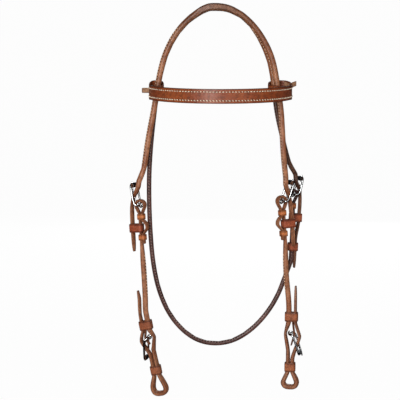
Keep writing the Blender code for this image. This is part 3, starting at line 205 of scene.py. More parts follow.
# Each panel as name, place, width and height, and watts
light_panel("key_panel", Vector((-0.5, -1.88, 0.15)), (0.55, 0.95), 22)
light_panel("fill_panel", Vector((1.2, -1.5, 0.2)), (0.5, 1.1), 4)
rear_panel = light_panel("rear_panel", Vector((0.25, 2.0, 0.2)), (0.9, 1.1), 18)
rear_panel.visible_camera = False

# %% [markdown]
# Polished metal shows only what stands round it. On a white set a chrome wire would turn as
# white as the wall, so a photographer stands black cards beside the set. They are just out
# of the picture, and the wire mirrors each as a crisp dark line. Here the cards are seen by
# mirror rays alone, so they take no light away from the leather.

# %% Black cards
CARD_NEAR, CARD_FAR, CARD_SIDE = -0.75, 0.55, 0.5
CARD_LOW, CARD_HIGH = FLOOR_LEVEL + 2 * MILLIMETRE, 0.3
CARD_BLACK = (0.012, 0.012, 0.014, 1)


def black_card(name, corners):
    """A matt black sheet that only mirror rays meet."""
    mesh = bpy.data.meshes.new(name)
    mesh.from_pydata(corners, [], [(0, 1, 2, 3)])
    made, nodes, links, shader = node_material(name)
    shader.inputs["Base Color"].default_value = CARD_BLACK
    shader.inputs["Roughness"].default_value = 1.0
    shader.inputs["Specular IOR Level"].default_value = 0.0
    mesh.materials.append(made)
    card = bpy.data.objects.new(name, mesh)
    card.visible_camera = False
    card.visible_diffuse = False
    card.visible_shadow = False
    card.visible_transmission = False
    card.visible_volume_scatter = False
    bpy.context.collection.objects.link(card)


near_edge, far_edge = [
    [
        (-CARD_SIDE, y, CARD_LOW),
        (CARD_SIDE, y, CARD_LOW),
        (CARD_SIDE, y, CARD_HIGH),
        (-CARD_SIDE, y, CARD_HIGH),
    ]
    for y in (CARD_NEAR, CARD_FAR)
]
for i, name in enumerate(("floor_card", "right_card", "top_card", "left_card")):
    j = (i + 1) % 4
    black_card(name, [near_edge[i], near_edge[j], far_edge[j], far_edge[i]])
black_card("rear_card", far_edge)
print("cards stand", CARD_SIDE, "m to each side and", CARD_FAR, "m behind")

# %% [markdown]
# The CAD pieces are made of loose triangles with plain, eight-sided sections. A real strap has
# no flats: its roundness comes from the cord inside it, and its cut edges are sanded and
# rubbed. So each piece is copied, its triangles are merged and paired to four-sided faces, its
# sharp edges get a small bevel, and a Subdivision Surface rounds the whole.

# %% Smooth copies of the CAD pieces
SWELL = 0.04 * MILLIMETRE
WELD = 0.002 * MILLIMETRE
EDGE_BEVEL = 0.3 * MILLIMETRE
SHARP_TURN = math.radians(54)
ROUNDING_LEVELS = 2
# Two triangles are paired if their planes, and then their corners, are within these radians
FLAT_ENOUGH, SQUARE_ENOUGH = 0.5, 1.2


def surface_of(mesh):
    """The mesh as a tree that answers where a ray meets it and which point lies nearest."""
    places = [v.co for v in mesh.vertices]
    return bvhtree.BVHTree.FromPolygons(places, [list(p.vertices) for p in mesh.polygons])


def keep_inside(mesh, solid):
    """Draws points back where rounding filled a hollow, so that no piece grows into another."""
    surface = surface_of(solid)
    for corner in mesh.vertices:
        near, normal, _, _ = surface.find_nearest(corner.co)
        if (corner.co - near).dot(normal) > SWELL:
            corner.co = near + normal * SWELL


def smooth_copy(node_name):
    """A merged and rounded mesh of one CAD node, with all modifiers already applied."""
    shape = bmesh.new()
    shape.from_mesh(frame["nodes"][node_name].data)
    bmesh.ops.remove_doubles(shape, verts=shape.verts, dist=WELD)
    bmesh.ops.join_triangles(
        shape,
        faces=shape.faces,
        angle_face_threshold=FLAT_ENOUGH,
        angle_shape_threshold=SQUARE_ENOUGH,
    )
    sharp = [e for e in shape.edges if e.calc_face_angle(0) > SHARP_TURN]
    bmesh.ops.bevel(
        shape, geom=sharp, offset=EDGE_BEVEL, segments=1, affect="EDGES", clamp_overlap=True
    )
    mesh = bpy.data.meshes.new(node_name)
    shape.to_mesh(mesh)
    shape.free()
    piece = bpy.data.objects.new(node_name, mesh)
    bpy.context.collection.objects.link(piece)
    rounding = piece.modifiers.new("rounding", "SUBSURF")
    rounding.levels = rounding.render_levels = ROUNDING_LEVELS
    finished = bpy.data.meshes.new_from_object(
        piece.evaluated_get(bpy.context.evaluated_depsgraph_get())
    )
    bpy.data.objects.remove(piece)
    bpy.data.meshes.remove(mesh)
    keep_inside(finished, frame["nodes"][node_name].data)
    finished.shade_smooth()
    return finished


BODY_OF_NODE = {
    node_name: body_name
    for body_name, node_names in frame["record"]["behaviour"]["bodies"].items()
    for node_name in node_names
}
print("bodies found for", len(BODY_OF_NODE), "nodes")

# %% [markdown]
# A leather worker rubs each cut edge until it turns dark and glossy. The material needs to
# know where those edges are. A picture could be painted for each piece, but the shape itself
# tells it: an edge is where the surface bends hard. The bend is measured from the normals of
# neighbouring points and stored on the mesh, where the material reads it as a number.

# %% Where the surface bends
JUST_INSIDE = 0.01 * MILLIMETRE
WALL_MARGIN = 1.6


def write_attribute(mesh, name, values):
    """Stores one number per point on the mesh, for a material to read."""
    attribute = mesh.attributes.new(name, "FLOAT", "POINT")
    attribute.data.foreach_set("value", np.asarray(values, dtype=np.float32))


def bend_per_millimetre(mesh):
    """How sharply the surface bends at each point: 0.3 on a rolled strap, over 1 on an edge."""
    count = len(mesh.vertices)
    places, normals = np.empty(count * 3), np.empty(count * 3)
    mesh.vertices.foreach_get("co", places)
    mesh.vertices.foreach_get("normal", normals)
    places, normals = places.reshape(-1, 3), normals.reshape(-1, 3)
    ends = np.empty(len(mesh.edges) * 2, dtype=np.int32)
    mesh.edges.foreach_get("vertices", ends)
    first, second = ends.reshape(-1, 2).T
    gap = places[second] - places[first]
    length = np.maximum((gap * gap).sum(axis=1), 1e-12)
    turn = ((normals[second] - normals[first]) * gap).sum(axis=1) / length
    bend = np.zeros(count)
    np.maximum.at(bend, first, turn)
    np.maximum.at(bend, second, turn)
    total, near = bend.copy(), np.ones(count)
    for here, there in ((first, second), (second, first)):
        np.add.at(total, here, bend[there])
        np.add.at(near, here, 1)
    return total / near * MILLIMETRE


def distance_to_rim(mesh, wall):
    """For a thin sheet: how far each point lies from the sheet's nearest cut edge."""
    surface = surface_of(mesh)
    rim = []
    for corner in mesh.vertices:
        inward = -corner.normal
        hit, _, _, depth = surface.ray_cast(corner.co + inward * JUST_INSIDE, inward)
        if hit is None or depth > wall * WALL_MARGIN:
            rim.append(corner.co)
    tree = kdtree.KDTree(len(rim))
    for i, place in enumerate(rim):
        tree.insert(place, i)
    tree.balance()
    return [tree.find(corner.co)[2] for corner in mesh.vertices]


trial = smooth_copy("left_browband_tie")
trial_bends = bend_per_millimetre(trial)
print("bend on a flat lace", round(min(trial_bends), 2), "to", round(max(trial_bends), 2))
bpy.data.meshes.remove(trial)

# %% [markdown]
# Leather is built in layers. Dye takes unevenly, so the colour drifts over the width of two
# fingers, and again over a few millimetres. Edges are darker, from burnishing and handling.
# The grain is a net of tiny cells with pores between them, too fine to model, so it is a
# bump. A thin coat of wax lies over all but the raw laces and the lining, and makes the long
# highlight. Small helpers stand for the node types, so that a recipe reads as steps.

# %% Steps of a recipe
def maths(tree, operation, first, second=None):
    """One sum on sockets or numbers."""
    node = tree.nodes.new("ShaderNodeMath")
    node.operation = operation
    for socket, value in zip(node.inputs, (first, second)):
        if isinstance(value, (int, float)):
            socket.default_value = value
        elif value is not None:
            tree.links.new(value, socket)
    return node.outputs[0]


def ranged(tree, value, low, high, new_low, new_high):
    """Carries a value from one range to another and stops at its ends."""
    node = tree.nodes.new("ShaderNodeMapRange")
    node.interpolation_type = "SMOOTHSTEP"
    labels = ("From Min", "From Max", "To Min", "To Max")
    for label, number in zip(labels, (low, high, new_low, new_high)):
        node.inputs[label].default_value = number
    tree.links.new(value, node.inputs["Value"])
    return node.outputs["Result"]


def blended(tree, factor, first, second):
    """Mixes two colours; each is a socket, or three numbers."""
    node = tree.nodes.new("ShaderNodeMix")
    node.data_type = "RGBA"
    # Sockets 6 and 7 are the node's two colours, and output 2 is the mixed one
    for socket, value in ((node.inputs[6], first), (node.inputs[7], second)):
        if isinstance(value, tuple):
            socket.default_value = (*value, 1)
        else:
            tree.links.new(value, socket)
    tree.links.new(factor, node.inputs[0])
    return node.outputs[2]


def noise(tree, place, scale, detail, roughness=0.5):
    """Soft patches; the scale is in waves per metre."""
    node = tree.nodes.new("ShaderNodeTexNoise")
    node.inputs["Scale"].default_value = scale
    node.inputs["Detail"].default_value = detail
    node.inputs["Roughness"].default_value = roughness
    tree.links.new(place, node.inputs["Vector"])
    return node.outputs["Fac"]


def cells(tree, place, scale):
    """A net of cells: 0 in the middle of each cell, rising to its walls."""
    node = tree.nodes.new("ShaderNodeTexVoronoi")
    node.inputs["Scale"].default_value = scale
    tree.links.new(place, node.inputs["Vector"])
    return node.outputs["Distance"]


def attribute(tree, name):
    """A number that was stored on the mesh."""
    node = tree.nodes.new("ShaderNodeAttribute")
    node.attribute_name = name
    return node.outputs["Fac"]


def bumped(tree, height, distance, strength, before=None):
    """Fine relief by a height pattern, laid over a coarser relief if one is given."""
    node = tree.nodes.new("ShaderNodeBump")
    node.inputs["Distance"].default_value = distance
    node.inputs["Strength"].default_value = strength
    tree.links.new(height, node.inputs["Height"])
    if before:
        tree.links.new(before, node.inputs["Normal"])
    return node.outputs["Normal"]


# Waves or cells per metre of the dye's drift, the patches, the speckle, the pores, the grain
DRIFT, PATCHES, SPECKLE, PORES, GRAIN = 42, 240, 760, 1000, 2300
print("grain cells are", round(1000 / GRAIN, 2), "mm wide")

# %% [markdown]
# The colour is mixed from three tones of the same leather: its base, a paler one and a deep
# one. First comes the dye, which is never even. Its pale flecks are partly the grain's own
# tone and partly painted glints, and on the crown the colour darkens towards the top as
# painted shade. Then come the places that wear and polish have darkened: the edges, the seam
# and the pressed crease lines. The dark sides of a roll aren't painted: they come from the
# light, so they stay right from every side.

# %% Colour of leather
# Each pattern's noise values where it starts and is full, and how much of it shows
DRIFT_RANGE = (0.36, 0.68)
PATCH_RANGE, PATCH_SHARE = (0.42, 0.66), 0.5
# The pale flecks are partly the grain's tone and partly painted glints of its highlights
SPECKLE_RANGE, FLECK_AND_GLINT_SHARE = (0.5, 0.7), 0.75
PORE_RADIUS, PORE_SHARE = 0.22, 0.45
EDGE_BEND, EDGE_SHARE = (0.42, 1.05), 0.85
SEAM_WIDTH, SEAM_SHARE = (0.15 * MILLIMETRE, 0.75 * MILLIMETRE), 0.75
CREASE_WIDTH, CREASE_SHARE = (0.12 * MILLIMETRE, 0.6 * MILLIMETRE), 0.6


def dye_and_painted_light(tree, place, base, pale, deep, darker_above):
    """The uneven dye, pale flecks that are partly painted glints, and a darkening towards the
    top,
    which on the crown is painted shade: its colour, and the patches, speckle and pores that
    relief uses too.
    """
    drift = noise(tree, place, DRIFT, 3)
    patches = noise(tree, place, PATCHES, 5, 0.62)
    speckle = noise(tree, place, SPECKLE, 4, 0.7)
    pores = cells(tree, place, PORES)
    colour = blended(tree, ranged(tree, drift, *DRIFT_RANGE, 0.0, 1.0), base, pale)
    worn = ranged(tree, patches, *PATCH_RANGE, 0.0, PATCH_SHARE)
    colour = blended(tree, worn, colour, deep)
    # Darker towards the top where asked; on the crown this is painted shade on its top
    if darker_above:
        low, high, share = darker_above
        apart = tree.nodes.new("ShaderNodeSeparateXYZ")
        tree.links.new(place, apart.inputs[0])
        rise = ranged(tree, apart.outputs["Z"], low, high, 0.0, share)
        colour = blended(tree, rise, colour, deep)
    # Pale flecks: partly the grain's own tone, partly painted glints
    flecks_and_painted_glints = ranged(tree, speckle, *SPECKLE_RANGE, 0.0, FLECK_AND_GLINT_SHARE)
    colour = blended(tree, flecks_and_painted_glints, colour, pale)
    dots = ranged(tree, pores, 0.0, PORE_RADIUS, PORE_SHARE, 0.0)
    colour = blended(tree, dots, colour, deep)
    return colour, patches, speckle, pores


def burnished(tree, colour, deep, patches):
    """Darkens the edges, less so in the patches: the colour, and how much of an edge it is."""
    edge = ranged(tree, attribute(tree, "bend"), *EDGE_BEND, 0.0, EDGE_SHARE)
    edge = maths(tree, "MULTIPLY", edge, ranged(tree, patches, 0.25, 0.62, 1.0, 0.6))
    return blended(tree, edge, colour, deep), edge


def pressed(tree, colour, deep, crease):
    """Darkens the seam and a line along the rim: the colour, and the grooves for relief."""
    grooves = ranged(tree, attribute(tree, "seam"), *SEAM_WIDTH, 1.0, 0.0)
    colour = blended(tree, maths(tree, "MULTIPLY", grooves, SEAM_SHARE), colour, deep)
    if crease:
        from_crease = maths(tree, "SUBTRACT", attribute(tree, "rim"), crease)
        from_crease = maths(tree, "ABSOLUTE", from_crease)
        line = ranged(tree, from_crease, *CREASE_WIDTH, 1.0, 0.0)
        colour = blended(tree, maths(tree, "MULTIPLY", line, CREASE_SHARE), colour, deep)
        grooves = maths(tree, "MAXIMUM", grooves, line)
    return colour, grooves


print("an edge starts where the surface bends by", EDGE_BEND[0], "per millimetre")

# %% [markdown]
# Gloss and relief follow the same patterns as the colour, as they do on a real hide: a patch
# that took more wax is smoother, an edge is polished, and a pore is a small pit. The crease
# lines and the seam are pressed in first, and the grain is laid over them.

# %% Leather
GRAIN_DEPTH, GRAIN_STRENGTH = 0.16 * MILLIMETRE, 0.55
GROOVE_DEPTH, GROOVE_STRENGTH = 0.5 * MILLIMETRE, 0.8
SPECKLE_HEIGHT, PATCH_HEIGHT, PORE_PIT = 0.6, 2.2, -0.5
EDGE_POLISH = 0.1


def leather(name, base, pale, deep, gloss, grain=1.0, crease=None, wax=0.12, darker_above=None):
    """Layers of colour, burnish, crease lines, grain, pores and wax."""
    made, nodes, links, shader = node_material(name)
    tree = made.node_tree
    place = nodes.new("ShaderNodeTexCoord").outputs["Object"]
    colour, patches, speckle, pores = dye_and_painted_light(tree, place, base, pale, deep, darker_above)
    colour, edge = burnished(tree, colour, deep, patches)
    colour, grooves = pressed(tree, colour, deep, crease)
    links.new(colour, shader.inputs["Base Color"])
    rough = ranged(tree, patches, 0.3, 0.7, gloss - 0.06, gloss + 0.1)
    rough = maths(tree, "SUBTRACT", rough, maths(tree, "MULTIPLY", edge, EDGE_POLISH))
    links.new(rough, shader.inputs["Roughness"])
    shader.inputs["Specular IOR Level"].default_value = 0.28
    shader.inputs["Coat Weight"].default_value = wax
    shader.inputs["Coat Roughness"].default_value = 0.22
    shader.inputs["Sheen Weight"].default_value = 0.03
    shader.inputs["Sheen Roughness"].default_value = 0.5
    height = cells(tree, place, GRAIN)
    height = maths(tree, "ADD", height, maths(tree, "MULTIPLY", speckle, SPECKLE_HEIGHT))
    height = maths(tree, "ADD", height, maths(tree, "MULTIPLY", patches, PATCH_HEIGHT))
    height = maths(tree, "ADD", height, ranged(tree, pores, 0.0, 0.25, PORE_PIT, 0.0))
    inward = maths(tree, "MULTIPLY", grooves, -1.0)
    sunk = bumped(tree, inward, GROOVE_DEPTH, GROOVE_STRENGTH)
    relief = bumped(tree, height, GRAIN_DEPTH, GRAIN_STRENGTH * grain, sunk)
    links.new(relief, shader.inputs["Normal"])
    return made


STITCH_INSET = 3.5 * MILLIMETRE
KEEPER_CREASE = 1.4 * MILLIMETRE
# Each leather with its base, pale and deep colours and its roughness
FINISHES = {
    "russet_strap": leather(
        "russet_leather",
        (0.310, 0.102, 0.042), (0.455, 0.190, 0.092), (0.044, 0.014, 0.006), 0.36,
    ),
    "dark_strap": leather(
        "dark_leather",
        (0.074, 0.028, 0.022), (0.165, 0.072, 0.058), (0.014, 0.006, 0.006), 0.32,
        wax=0.3,
    ),
    "band_leather": leather(
        "browband_leather",
        (0.268, 0.055, 0.015), (0.355, 0.088, 0.025), (0.045, 0.011, 0.005), 0.34,
        crease=STITCH_INSET,
    ),
    "lining_leather": leather(
        "lining_leather",
        (0.17, 0.075, 0.042), (0.24, 0.12, 0.07), (0.05, 0.024, 0.016), 0.68,
        grain=1.6, wax=0.0,
    ),
    "tan_keeper": leather(
        "tan_leather",
        (0.57, 0.148, 0.038), (0.68, 0.235, 0.075), (0.080, 0.022, 0.008), 0.42,
        crease=KEEPER_CREASE,
    ),
    "red_keeper": leather(
        "red_brown_leather",
        (0.35, 0.068, 0.026), (0.48, 0.125, 0.052), (0.045, 0.011, 0.007), 0.40,
        crease=KEEPER_CREASE,
    ),
    "lace": leather(
        "raw_lace",
        (0.36, 0.175, 0.09), (0.47, 0.26, 0.145), (0.07, 0.03, 0.016), 0.58,
        grain=1.3, wax=0.0,
    ),
}
print("leathers", len(FINISHES))

# %% [markdown]
# The buckles are bent from plated steel wire. Chrome has almost no colour of its own. What
# keeps it from looking like a mirror in a drawing is small: a faint unevenness that bends
# each reflection, and fine rubbing marks that spread the highlight here and there.

# %% Chrome
CLEAN_CHROME, RUBBED_CHROME = (0.66, 0.68, 0.68), (0.46, 0.47, 0.48)
RUB_MARKS, WIRE_WAVES = 700, 160


def chrome(name):
    """Bright plating with rubbing marks and a slightly wavy surface."""
    made, nodes, links, shader = node_material(name)
    tree = made.node_tree
    place = nodes.new("ShaderNodeTexCoord").outputs["Object"]
    rub = noise(tree, place, RUB_MARKS, 5, 0.65)
    wave = noise(tree, place, WIRE_WAVES, 2)
    shader.inputs["Metallic"].default_value = 1.0
    worn = ranged(tree, rub, 0.45, 0.75, 0.0, 1.0)
    links.new(blended(tree, worn, CLEAN_CHROME, RUBBED_CHROME), shader.inputs["Base Color"])
    links.new(ranged(tree, rub, 0.35, 0.75, 0.07, 0.26), shader.inputs["Roughness"])
    links.new(bumped(tree, wave, 0.3 * MILLIMETRE, 0.12), shader.inputs["Normal"])
    return made


FINISHES["steel"] = chrome("chrome_wire")
print("finishes for the CAD model's slots", sorted(FINISHES))

# %% [markdown]
# Pieces cut from one kind of leather still differ. The keepers at the bit are browner than
# those at the cheek, and the left ones darker than the right. The crown darkens towards the
# poll, which is painted shade on its top, and the throat billet strap is darker above its
# bend. These pieces get a finish of their own.

# %% Finishes of single pieces
BIT_KEEPER = leather(
    "bit_keeper_leather",
    (0.38, 0.105, 0.036), (0.50, 0.165, 0.066), (0.060, 0.016, 0.008), 0.42,
    crease=KEEPER_CREASE,
)
LEFT_KEEPER = leather(
    "left_keeper_leather",
    (0.29, 0.074, 0.027), (0.40, 0.125, 0.052), (0.050, 0.013, 0.007), 0.42,
    crease=KEEPER_CREASE,
)
# darker_above gives the heights where the darkening starts and ends, and its share
NODE_FINISHES = {
    "left_bit_billet_keeper": LEFT_KEEPER,
    "left_bit_strap_keeper": LEFT_KEEPER,
    "right_bit_billet_keeper": BIT_KEEPER,
    "right_bit_strap_keeper": BIT_KEEPER,
    # The crown's darkening towards the top is painted shade
    "crown": leather(
        "crown_leather",
        (0.322, 0.105, 0.044), (0.485, 0.204, 0.099), (0.044, 0.014, 0.006), 0.34,
        wax=0.2, darker_above=(-0.075, 0.0, 0.6),
    ),
    "throat_billet_strap": leather(
        "brown_leather",
        (0.27, 0.105, 0.052), (0.40, 0.185, 0.11), (0.022, 0.009, 0.007), 0.34,
        wax=0.2, darker_above=(-0.232, -0.206, 0.82),
    ),
}
print("pieces with a finish of their own", len(NODE_FINISHES))

# %% [markdown]
# Now every CAD piece gets its smooth copy.

# %% Dress every piece
SHEET_WALLS = {
    "band_leather": 2.0 * MILLIMETRE,
    "tan_keeper": 1.2 * MILLIMETRE,
    "red_keeper": 1.4 * MILLIMETRE,
}
dressed = {}
for node_name, node in sorted(frame["nodes"].items()):
    slot_name = node.data.materials[0].name
    mesh = smooth_copy(node_name)
    mesh.materials.clear()
    mesh.materials.append(NODE_FINISHES.get(node_name, FINISHES[slot_name]))
    write_attribute(mesh, "bend", bend_per_millimetre(mesh))
    if slot_name in SHEET_WALLS:
        write_attribute(mesh, "rim", distance_to_rim(mesh, SHEET_WALLS[slot_name]))
    piece = bpy.data.objects.new(f"{node_name}_dressed", mesh)
    bpy.context.collection.objects.link(piece)
    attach(piece, BODY_OF_NODE[node_name])
    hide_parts(node_name)
    dressed[node_name] = mesh
face_count = sum(len(mesh.polygons) for mesh in dressed.values())
print("dressed", len(dressed), "pieces with", face_count, "faces")

# %% [markdown]
# A rolled strap is a flat strap wrapped round a cord and closed with one line of stitches
# along its length. To lay those stitches, the scene must know where the strap runs. It walks
# inside the strap: at each step it looks at the walls all round, moves to the middle between
# them and steps on. From each middle point one more look, to the side of the seam, finds the
# place on the surface.

# %% Walk along a strap
WALK_STEP = 2 * MILLIMETRE
WALK_REACH = 9 * MILLIMETRE
LOOKS_ROUND = 6
START_BAND = 4 * MILLIMETRE


def middle_of(surface, place, way):
    """The middle between the walls round a place inside a strap, or None outside."""
    side = way.orthogonal().normalized()
    other = way.cross(side)
    middles = []
    for k in range(LOOKS_ROUND):
        angle = math.pi * k / LOOKS_ROUND
        ray = side * math.cos(angle) + other * math.sin(angle)
        ahead = surface.ray_cast(place, ray, WALK_REACH)[0]
        behind = surface.ray_cast(place, -ray, WALK_REACH)[0]
        if ahead is None or behind is None:
            return None
        middles.append((ahead + behind) / 2)
    return sum(middles, Vector()) / len(middles)


def walk(surface, start, way, length):
    """Middle points of a strap from a start inside it, for a length or until its walls end."""
    points = []
    place = start
    for _ in range(int(length / WALK_STEP)):
        middle = middle_of(surface, place, way)
        if middle is None or (points and (middle - points[-1]).length > 2 * WALK_STEP):
            break
        if points:
            way = (way + (middle - points[-1]).normalized()).normalized()
        points.append(middle)
        place = middle + way * WALK_STEP
    return points


def start_inside(mesh, height, hand):
    """A point inside the strap that passes a height on one side of the headstall."""
    near = [
        v.co for v in mesh.vertices if abs(v.co.z - height) < START_BAND and v.co.x * hand > 0
    ]
    return sum(near, Vector()) / len(near)


def seam_path(surface, middles, look):
    """Places on the surface beside the middle points, with the way that the surface faces."""
    path = []
    for i, middle in enumerate(middles):
        before, after = middles[max(i - 1, 0)], middles[min(i + 1, len(middles) - 1)]
        way = (after - before).normalized()
        ray = (look - way * look.dot(way)).normalized()
        hit, normal, _, _ = surface.ray_cast(middle, ray, WALK_REACH)
        if hit is not None:
            path.append((hit, normal))
    return path


crown_surface = surface_of(dressed["crown"])
crown_inside = start_inside(dressed["crown"], -0.118, -1)
crown_middle = middle_of(crown_surface, crown_inside, Vector((0, 0, 1)))
print("middle of the crown's front strand", [round(v, 4) for v in crown_middle])

# %% [markdown]
# Which seams show is read from the photograph: on the front strands of the crown, on short
# stretches of the cheek straps, and along the throatlatch. Each is listed with a height to
# start from and the side on which its stitches lie, and the walk finds the rest.

# %% Find the seams
# Each seam as node, height and hand of its start, lengths up and down, and its side
SEAMS = (
    ("crown", -0.118, -1, 0.105, 0.072, Vector((-0.75, -0.66, 0.0))),
    ("crown", -0.118, 1, 0.030, 0.098, Vector((-0.64, -0.77, 0.0))),
    ("crown", -0.060, 1, 0.120, 0.020, Vector((-0.60, -0.78, -0.30))),
    ("left_cheek_strap", -0.322, -1, 0.022, 0.032, Vector((0.80, -0.60, 0.0))),
    ("right_cheek_strap", -0.318, 1, 0.018, 0.030, Vector((-0.80, -0.60, 0.0))),
    ("throatlatch", -0.190, -1, 0.072, 0.560, Vector((0.0, -0.70, 0.70))),
    ("throat_billet_strap", -0.150, 1, 0.035, 0.045, Vector((-0.70, -0.70, 0.0))),
)
seam_paths = []
for node_name, height, hand, up, down, look in SEAMS:
    surface = surface_of(dressed[node_name])
    start = start_inside(dressed[node_name], height, hand)
    above = walk(surface, start, Vector((0, 0, 1)), up)
    below = walk(surface, start, Vector((0, 0, -1)), down)
    path = seam_path(surface, list(reversed(above)) + below[1:], look)
    seam_paths.append((node_name, path))
    top, bottom = ([round(v, 3) for v in path[k][0]] for k in (0, -1))
    print("seam on", node_name, "with", len(path), "points from", top, "to", bottom)

# %% [markdown]
# A sewn seam lies in a shallow groove, because the thread pulls the leather down. The groove
# needs no new faces: each point of a strap stores how far it is from the nearest seam, and the
# leather darkens and dips where that number is small. Pieces without a seam store a distance
# so large that nothing shows.

# %% Sink the seams into the leather
SEAM_PARTS = 6
FAR_AWAY = 1.0

for node_name in sorted({name for name, _ in seam_paths}):
    places = []
    for name, path in seam_paths:
        if name != node_name:
            continue
        for (here, _), (there, _) in zip(path, path[1:]):
            places += [here.lerp(there, part / SEAM_PARTS) for part in range(SEAM_PARTS)]
    tree = kdtree.KDTree(len(places))
    for i, place in enumerate(places):
        tree.insert(place, i)
    tree.balance()
    mesh = dressed[node_name]
    write_attribute(mesh, "seam", [tree.find(v.co)[2] for v in mesh.vertices])
for node_name, mesh in dressed.items():
    if "seam" not in mesh.attributes:
        write_attribute(mesh, "seam", [FAR_AWAY] * len(mesh.vertices))
print("seams sunk into", sorted({name for name, _ in seam_paths}))

# %% [markdown]
# Harness thread is twisted from several plies and drawn through wax. At this size the twist
# only roughens its surface, so a fine bump is enough, and dirt dulls it in places. The
# browband is sewn in cream, and the straps in threads close to their leather's own colour.

# %% Thread
PLIES, SOILED_PATCHES = 2600, 180
SOILED_SHARE = 0.62


def thread(name, colour):
    """Dull thread with its plies, paler where it is clean."""
    made, nodes, links, shader = node_material(name)
    tree = made.node_tree
    place = nodes.new("ShaderNodeTexCoord").outputs["Object"]
    plies = noise(tree, place, PLIES, 3, 0.6)
    soiled = ranged(tree, noise(tree, place, SOILED_PATCHES, 3), 0.45, 0.75, 0.0, 0.8)
    dull = tuple(channel * SOILED_SHARE for channel in colour)
    links.new(blended(tree, soiled, colour, dull), shader.inputs["Base Color"])
    shader.inputs["Roughness"].default_value = 0.75
    shader.inputs["Sheen Weight"].default_value = 0.25
    links.new(bumped(tree, plies, 0.12 * MILLIMETRE, 0.6), shader.inputs["Normal"])
    return made


CREAM_THREAD = thread("cream_thread", (0.95, 0.80, 0.60))
TAN_THREAD = thread("tan_thread", (0.80, 0.52, 0.33))
DARK_THREAD = thread("dark_thread", (0.34, 0.20, 0.17))
print("threads", [made.name for made in (CREAM_THREAD, TAN_THREAD, DARK_THREAD)])

# %% [markdown]
# Hundreds of stitches aren't placed by hand. A small Geometry Nodes tree takes a path, sets
# points along it at an even pitch, and puts one bead of thread on each, turned to follow the
# path and tilted by its slant. A fixed seed makes each bead a little different, as work by
# hand does, and the same each time.

# %% Stitch tree
BEAD_SIDES, BEAD_RINGS = 8, 6
UNEVEN_TURN = 0.12
SMALLEST_BEAD, LARGEST_BEAD = 0.9, 1.1


def stitch_tree():
    """Geometry Nodes that turn a path into a row of stitches."""
    tree = bpy.data.node_groups.new("stitch_row", "GeometryNodeTree")
    face = tree.interface
    face.new_socket("Geometry", in_out="INPUT", socket_type="NodeSocketGeometry")
    inputs = {}
    for label, kind in (
        ("Pitch", "Float"),
        ("Length", "Float"),
        ("Thickness", "Float"),
        ("Slant", "Float"),
        ("Seed", "Int"),
        ("Thread", "Material"),
    ):
        socket = face.new_socket(label, in_out="INPUT", socket_type=f"NodeSocket{kind}")
        inputs[label] = socket.identifier
    face.new_socket("Geometry", in_out="OUTPUT", socket_type="NodeSocketGeometry")
    add, link = tree.nodes.new, tree.links.new
    given, result = add("NodeGroupInput"), add("NodeGroupOutput")

    curve = add("GeometryNodeMeshToCurve")
    link(given.outputs["Geometry"], curve.inputs["Mesh"])
    spaced = add("GeometryNodeResampleCurve")
    spaced.mode = "LENGTH"
    link(curve.outputs["Curve"], spaced.inputs["Curve"])
    link(given.outputs["Pitch"], spaced.inputs["Length"])

    # A bead of diameter 1, so that Length and Thickness are its true sizes
    bead = add("GeometryNodeMeshUVSphere")
    bead.inputs["Segments"].default_value = BEAD_SIDES
    bead.inputs["Rings"].default_value = BEAD_RINGS
    bead.inputs["Radius"].default_value = 0.5
    size = add("ShaderNodeCombineXYZ")
    link(given.outputs["Length"], size.inputs["X"])
    link(given.outputs["Thickness"], size.inputs["Y"])
    link(given.outputs["Thickness"], size.inputs["Z"])
    shaped = add("GeometryNodeTransform")
    link(bead.outputs["Mesh"], shaped.inputs["Geometry"])
    link(size.outputs["Vector"], shaped.inputs["Scale"])

    away = add("GeometryNodeInputNamedAttribute")
    away.data_type = "FLOAT_VECTOR"
    away.inputs["Name"].default_value = "away"
    along = add("GeometryNodeInputTangent")
    facing = add("FunctionNodeAxesToRotation")
    facing.primary_axis = "Z"
    facing.secondary_axis = "X"
    link(away.outputs["Attribute"], facing.inputs["Primary Axis"])
    link(along.outputs["Tangent"], facing.inputs["Secondary Axis"])
    # Inputs 2 and 3 of a Random Value node are its lowest and highest number
    uneven = add("FunctionNodeRandomValue")
    uneven.inputs[2].default_value = -UNEVEN_TURN
    uneven.inputs[3].default_value = UNEVEN_TURN
    link(given.outputs["Seed"], uneven.inputs["Seed"])
    angle = add("ShaderNodeMath")
    link(given.outputs["Slant"], angle.inputs[0])
    link(uneven.outputs[1], angle.inputs[1])
    turn = add("ShaderNodeCombineXYZ")
    link(angle.outputs[0], turn.inputs["Z"])
    tilt = add("FunctionNodeEulerToRotation")
    link(turn.outputs["Vector"], tilt.inputs["Euler"])
    turned = add("FunctionNodeRotateRotation")
    turned.rotation_space = "LOCAL"
    link(facing.outputs["Rotation"], turned.inputs["Rotation"])
    link(tilt.outputs["Rotation"], turned.inputs["Rotate By"])
    swell = add("FunctionNodeRandomValue")
    swell.inputs[2].default_value = SMALLEST_BEAD
    swell.inputs[3].default_value = LARGEST_BEAD
    link(given.outputs["Seed"], swell.inputs["Seed"])

    placed = add("GeometryNodeInstanceOnPoints")
    link(spaced.outputs["Curve"], placed.inputs["Points"])
    link(shaped.outputs["Geometry"], placed.inputs["Instance"])
    link(turned.outputs["Rotation"], placed.inputs["Rotation"])
    link(swell.outputs[1], placed.inputs["Scale"])
    real = add("GeometryNodeRealizeInstances")
    link(placed.outputs["Instances"], real.inputs["Geometry"])
    soft = add("GeometryNodeSetShadeSmooth")
    link(real.outputs["Geometry"], soft.inputs["Geometry"])
    coloured = add("GeometryNodeSetMaterial")
    link(soft.outputs["Geometry"], coloured.inputs["Geometry"])
    link(given.outputs["Thread"], coloured.inputs["Material"])
    link(coloured.outputs["Geometry"], result.inputs["Geometry"])
    return tree, inputs


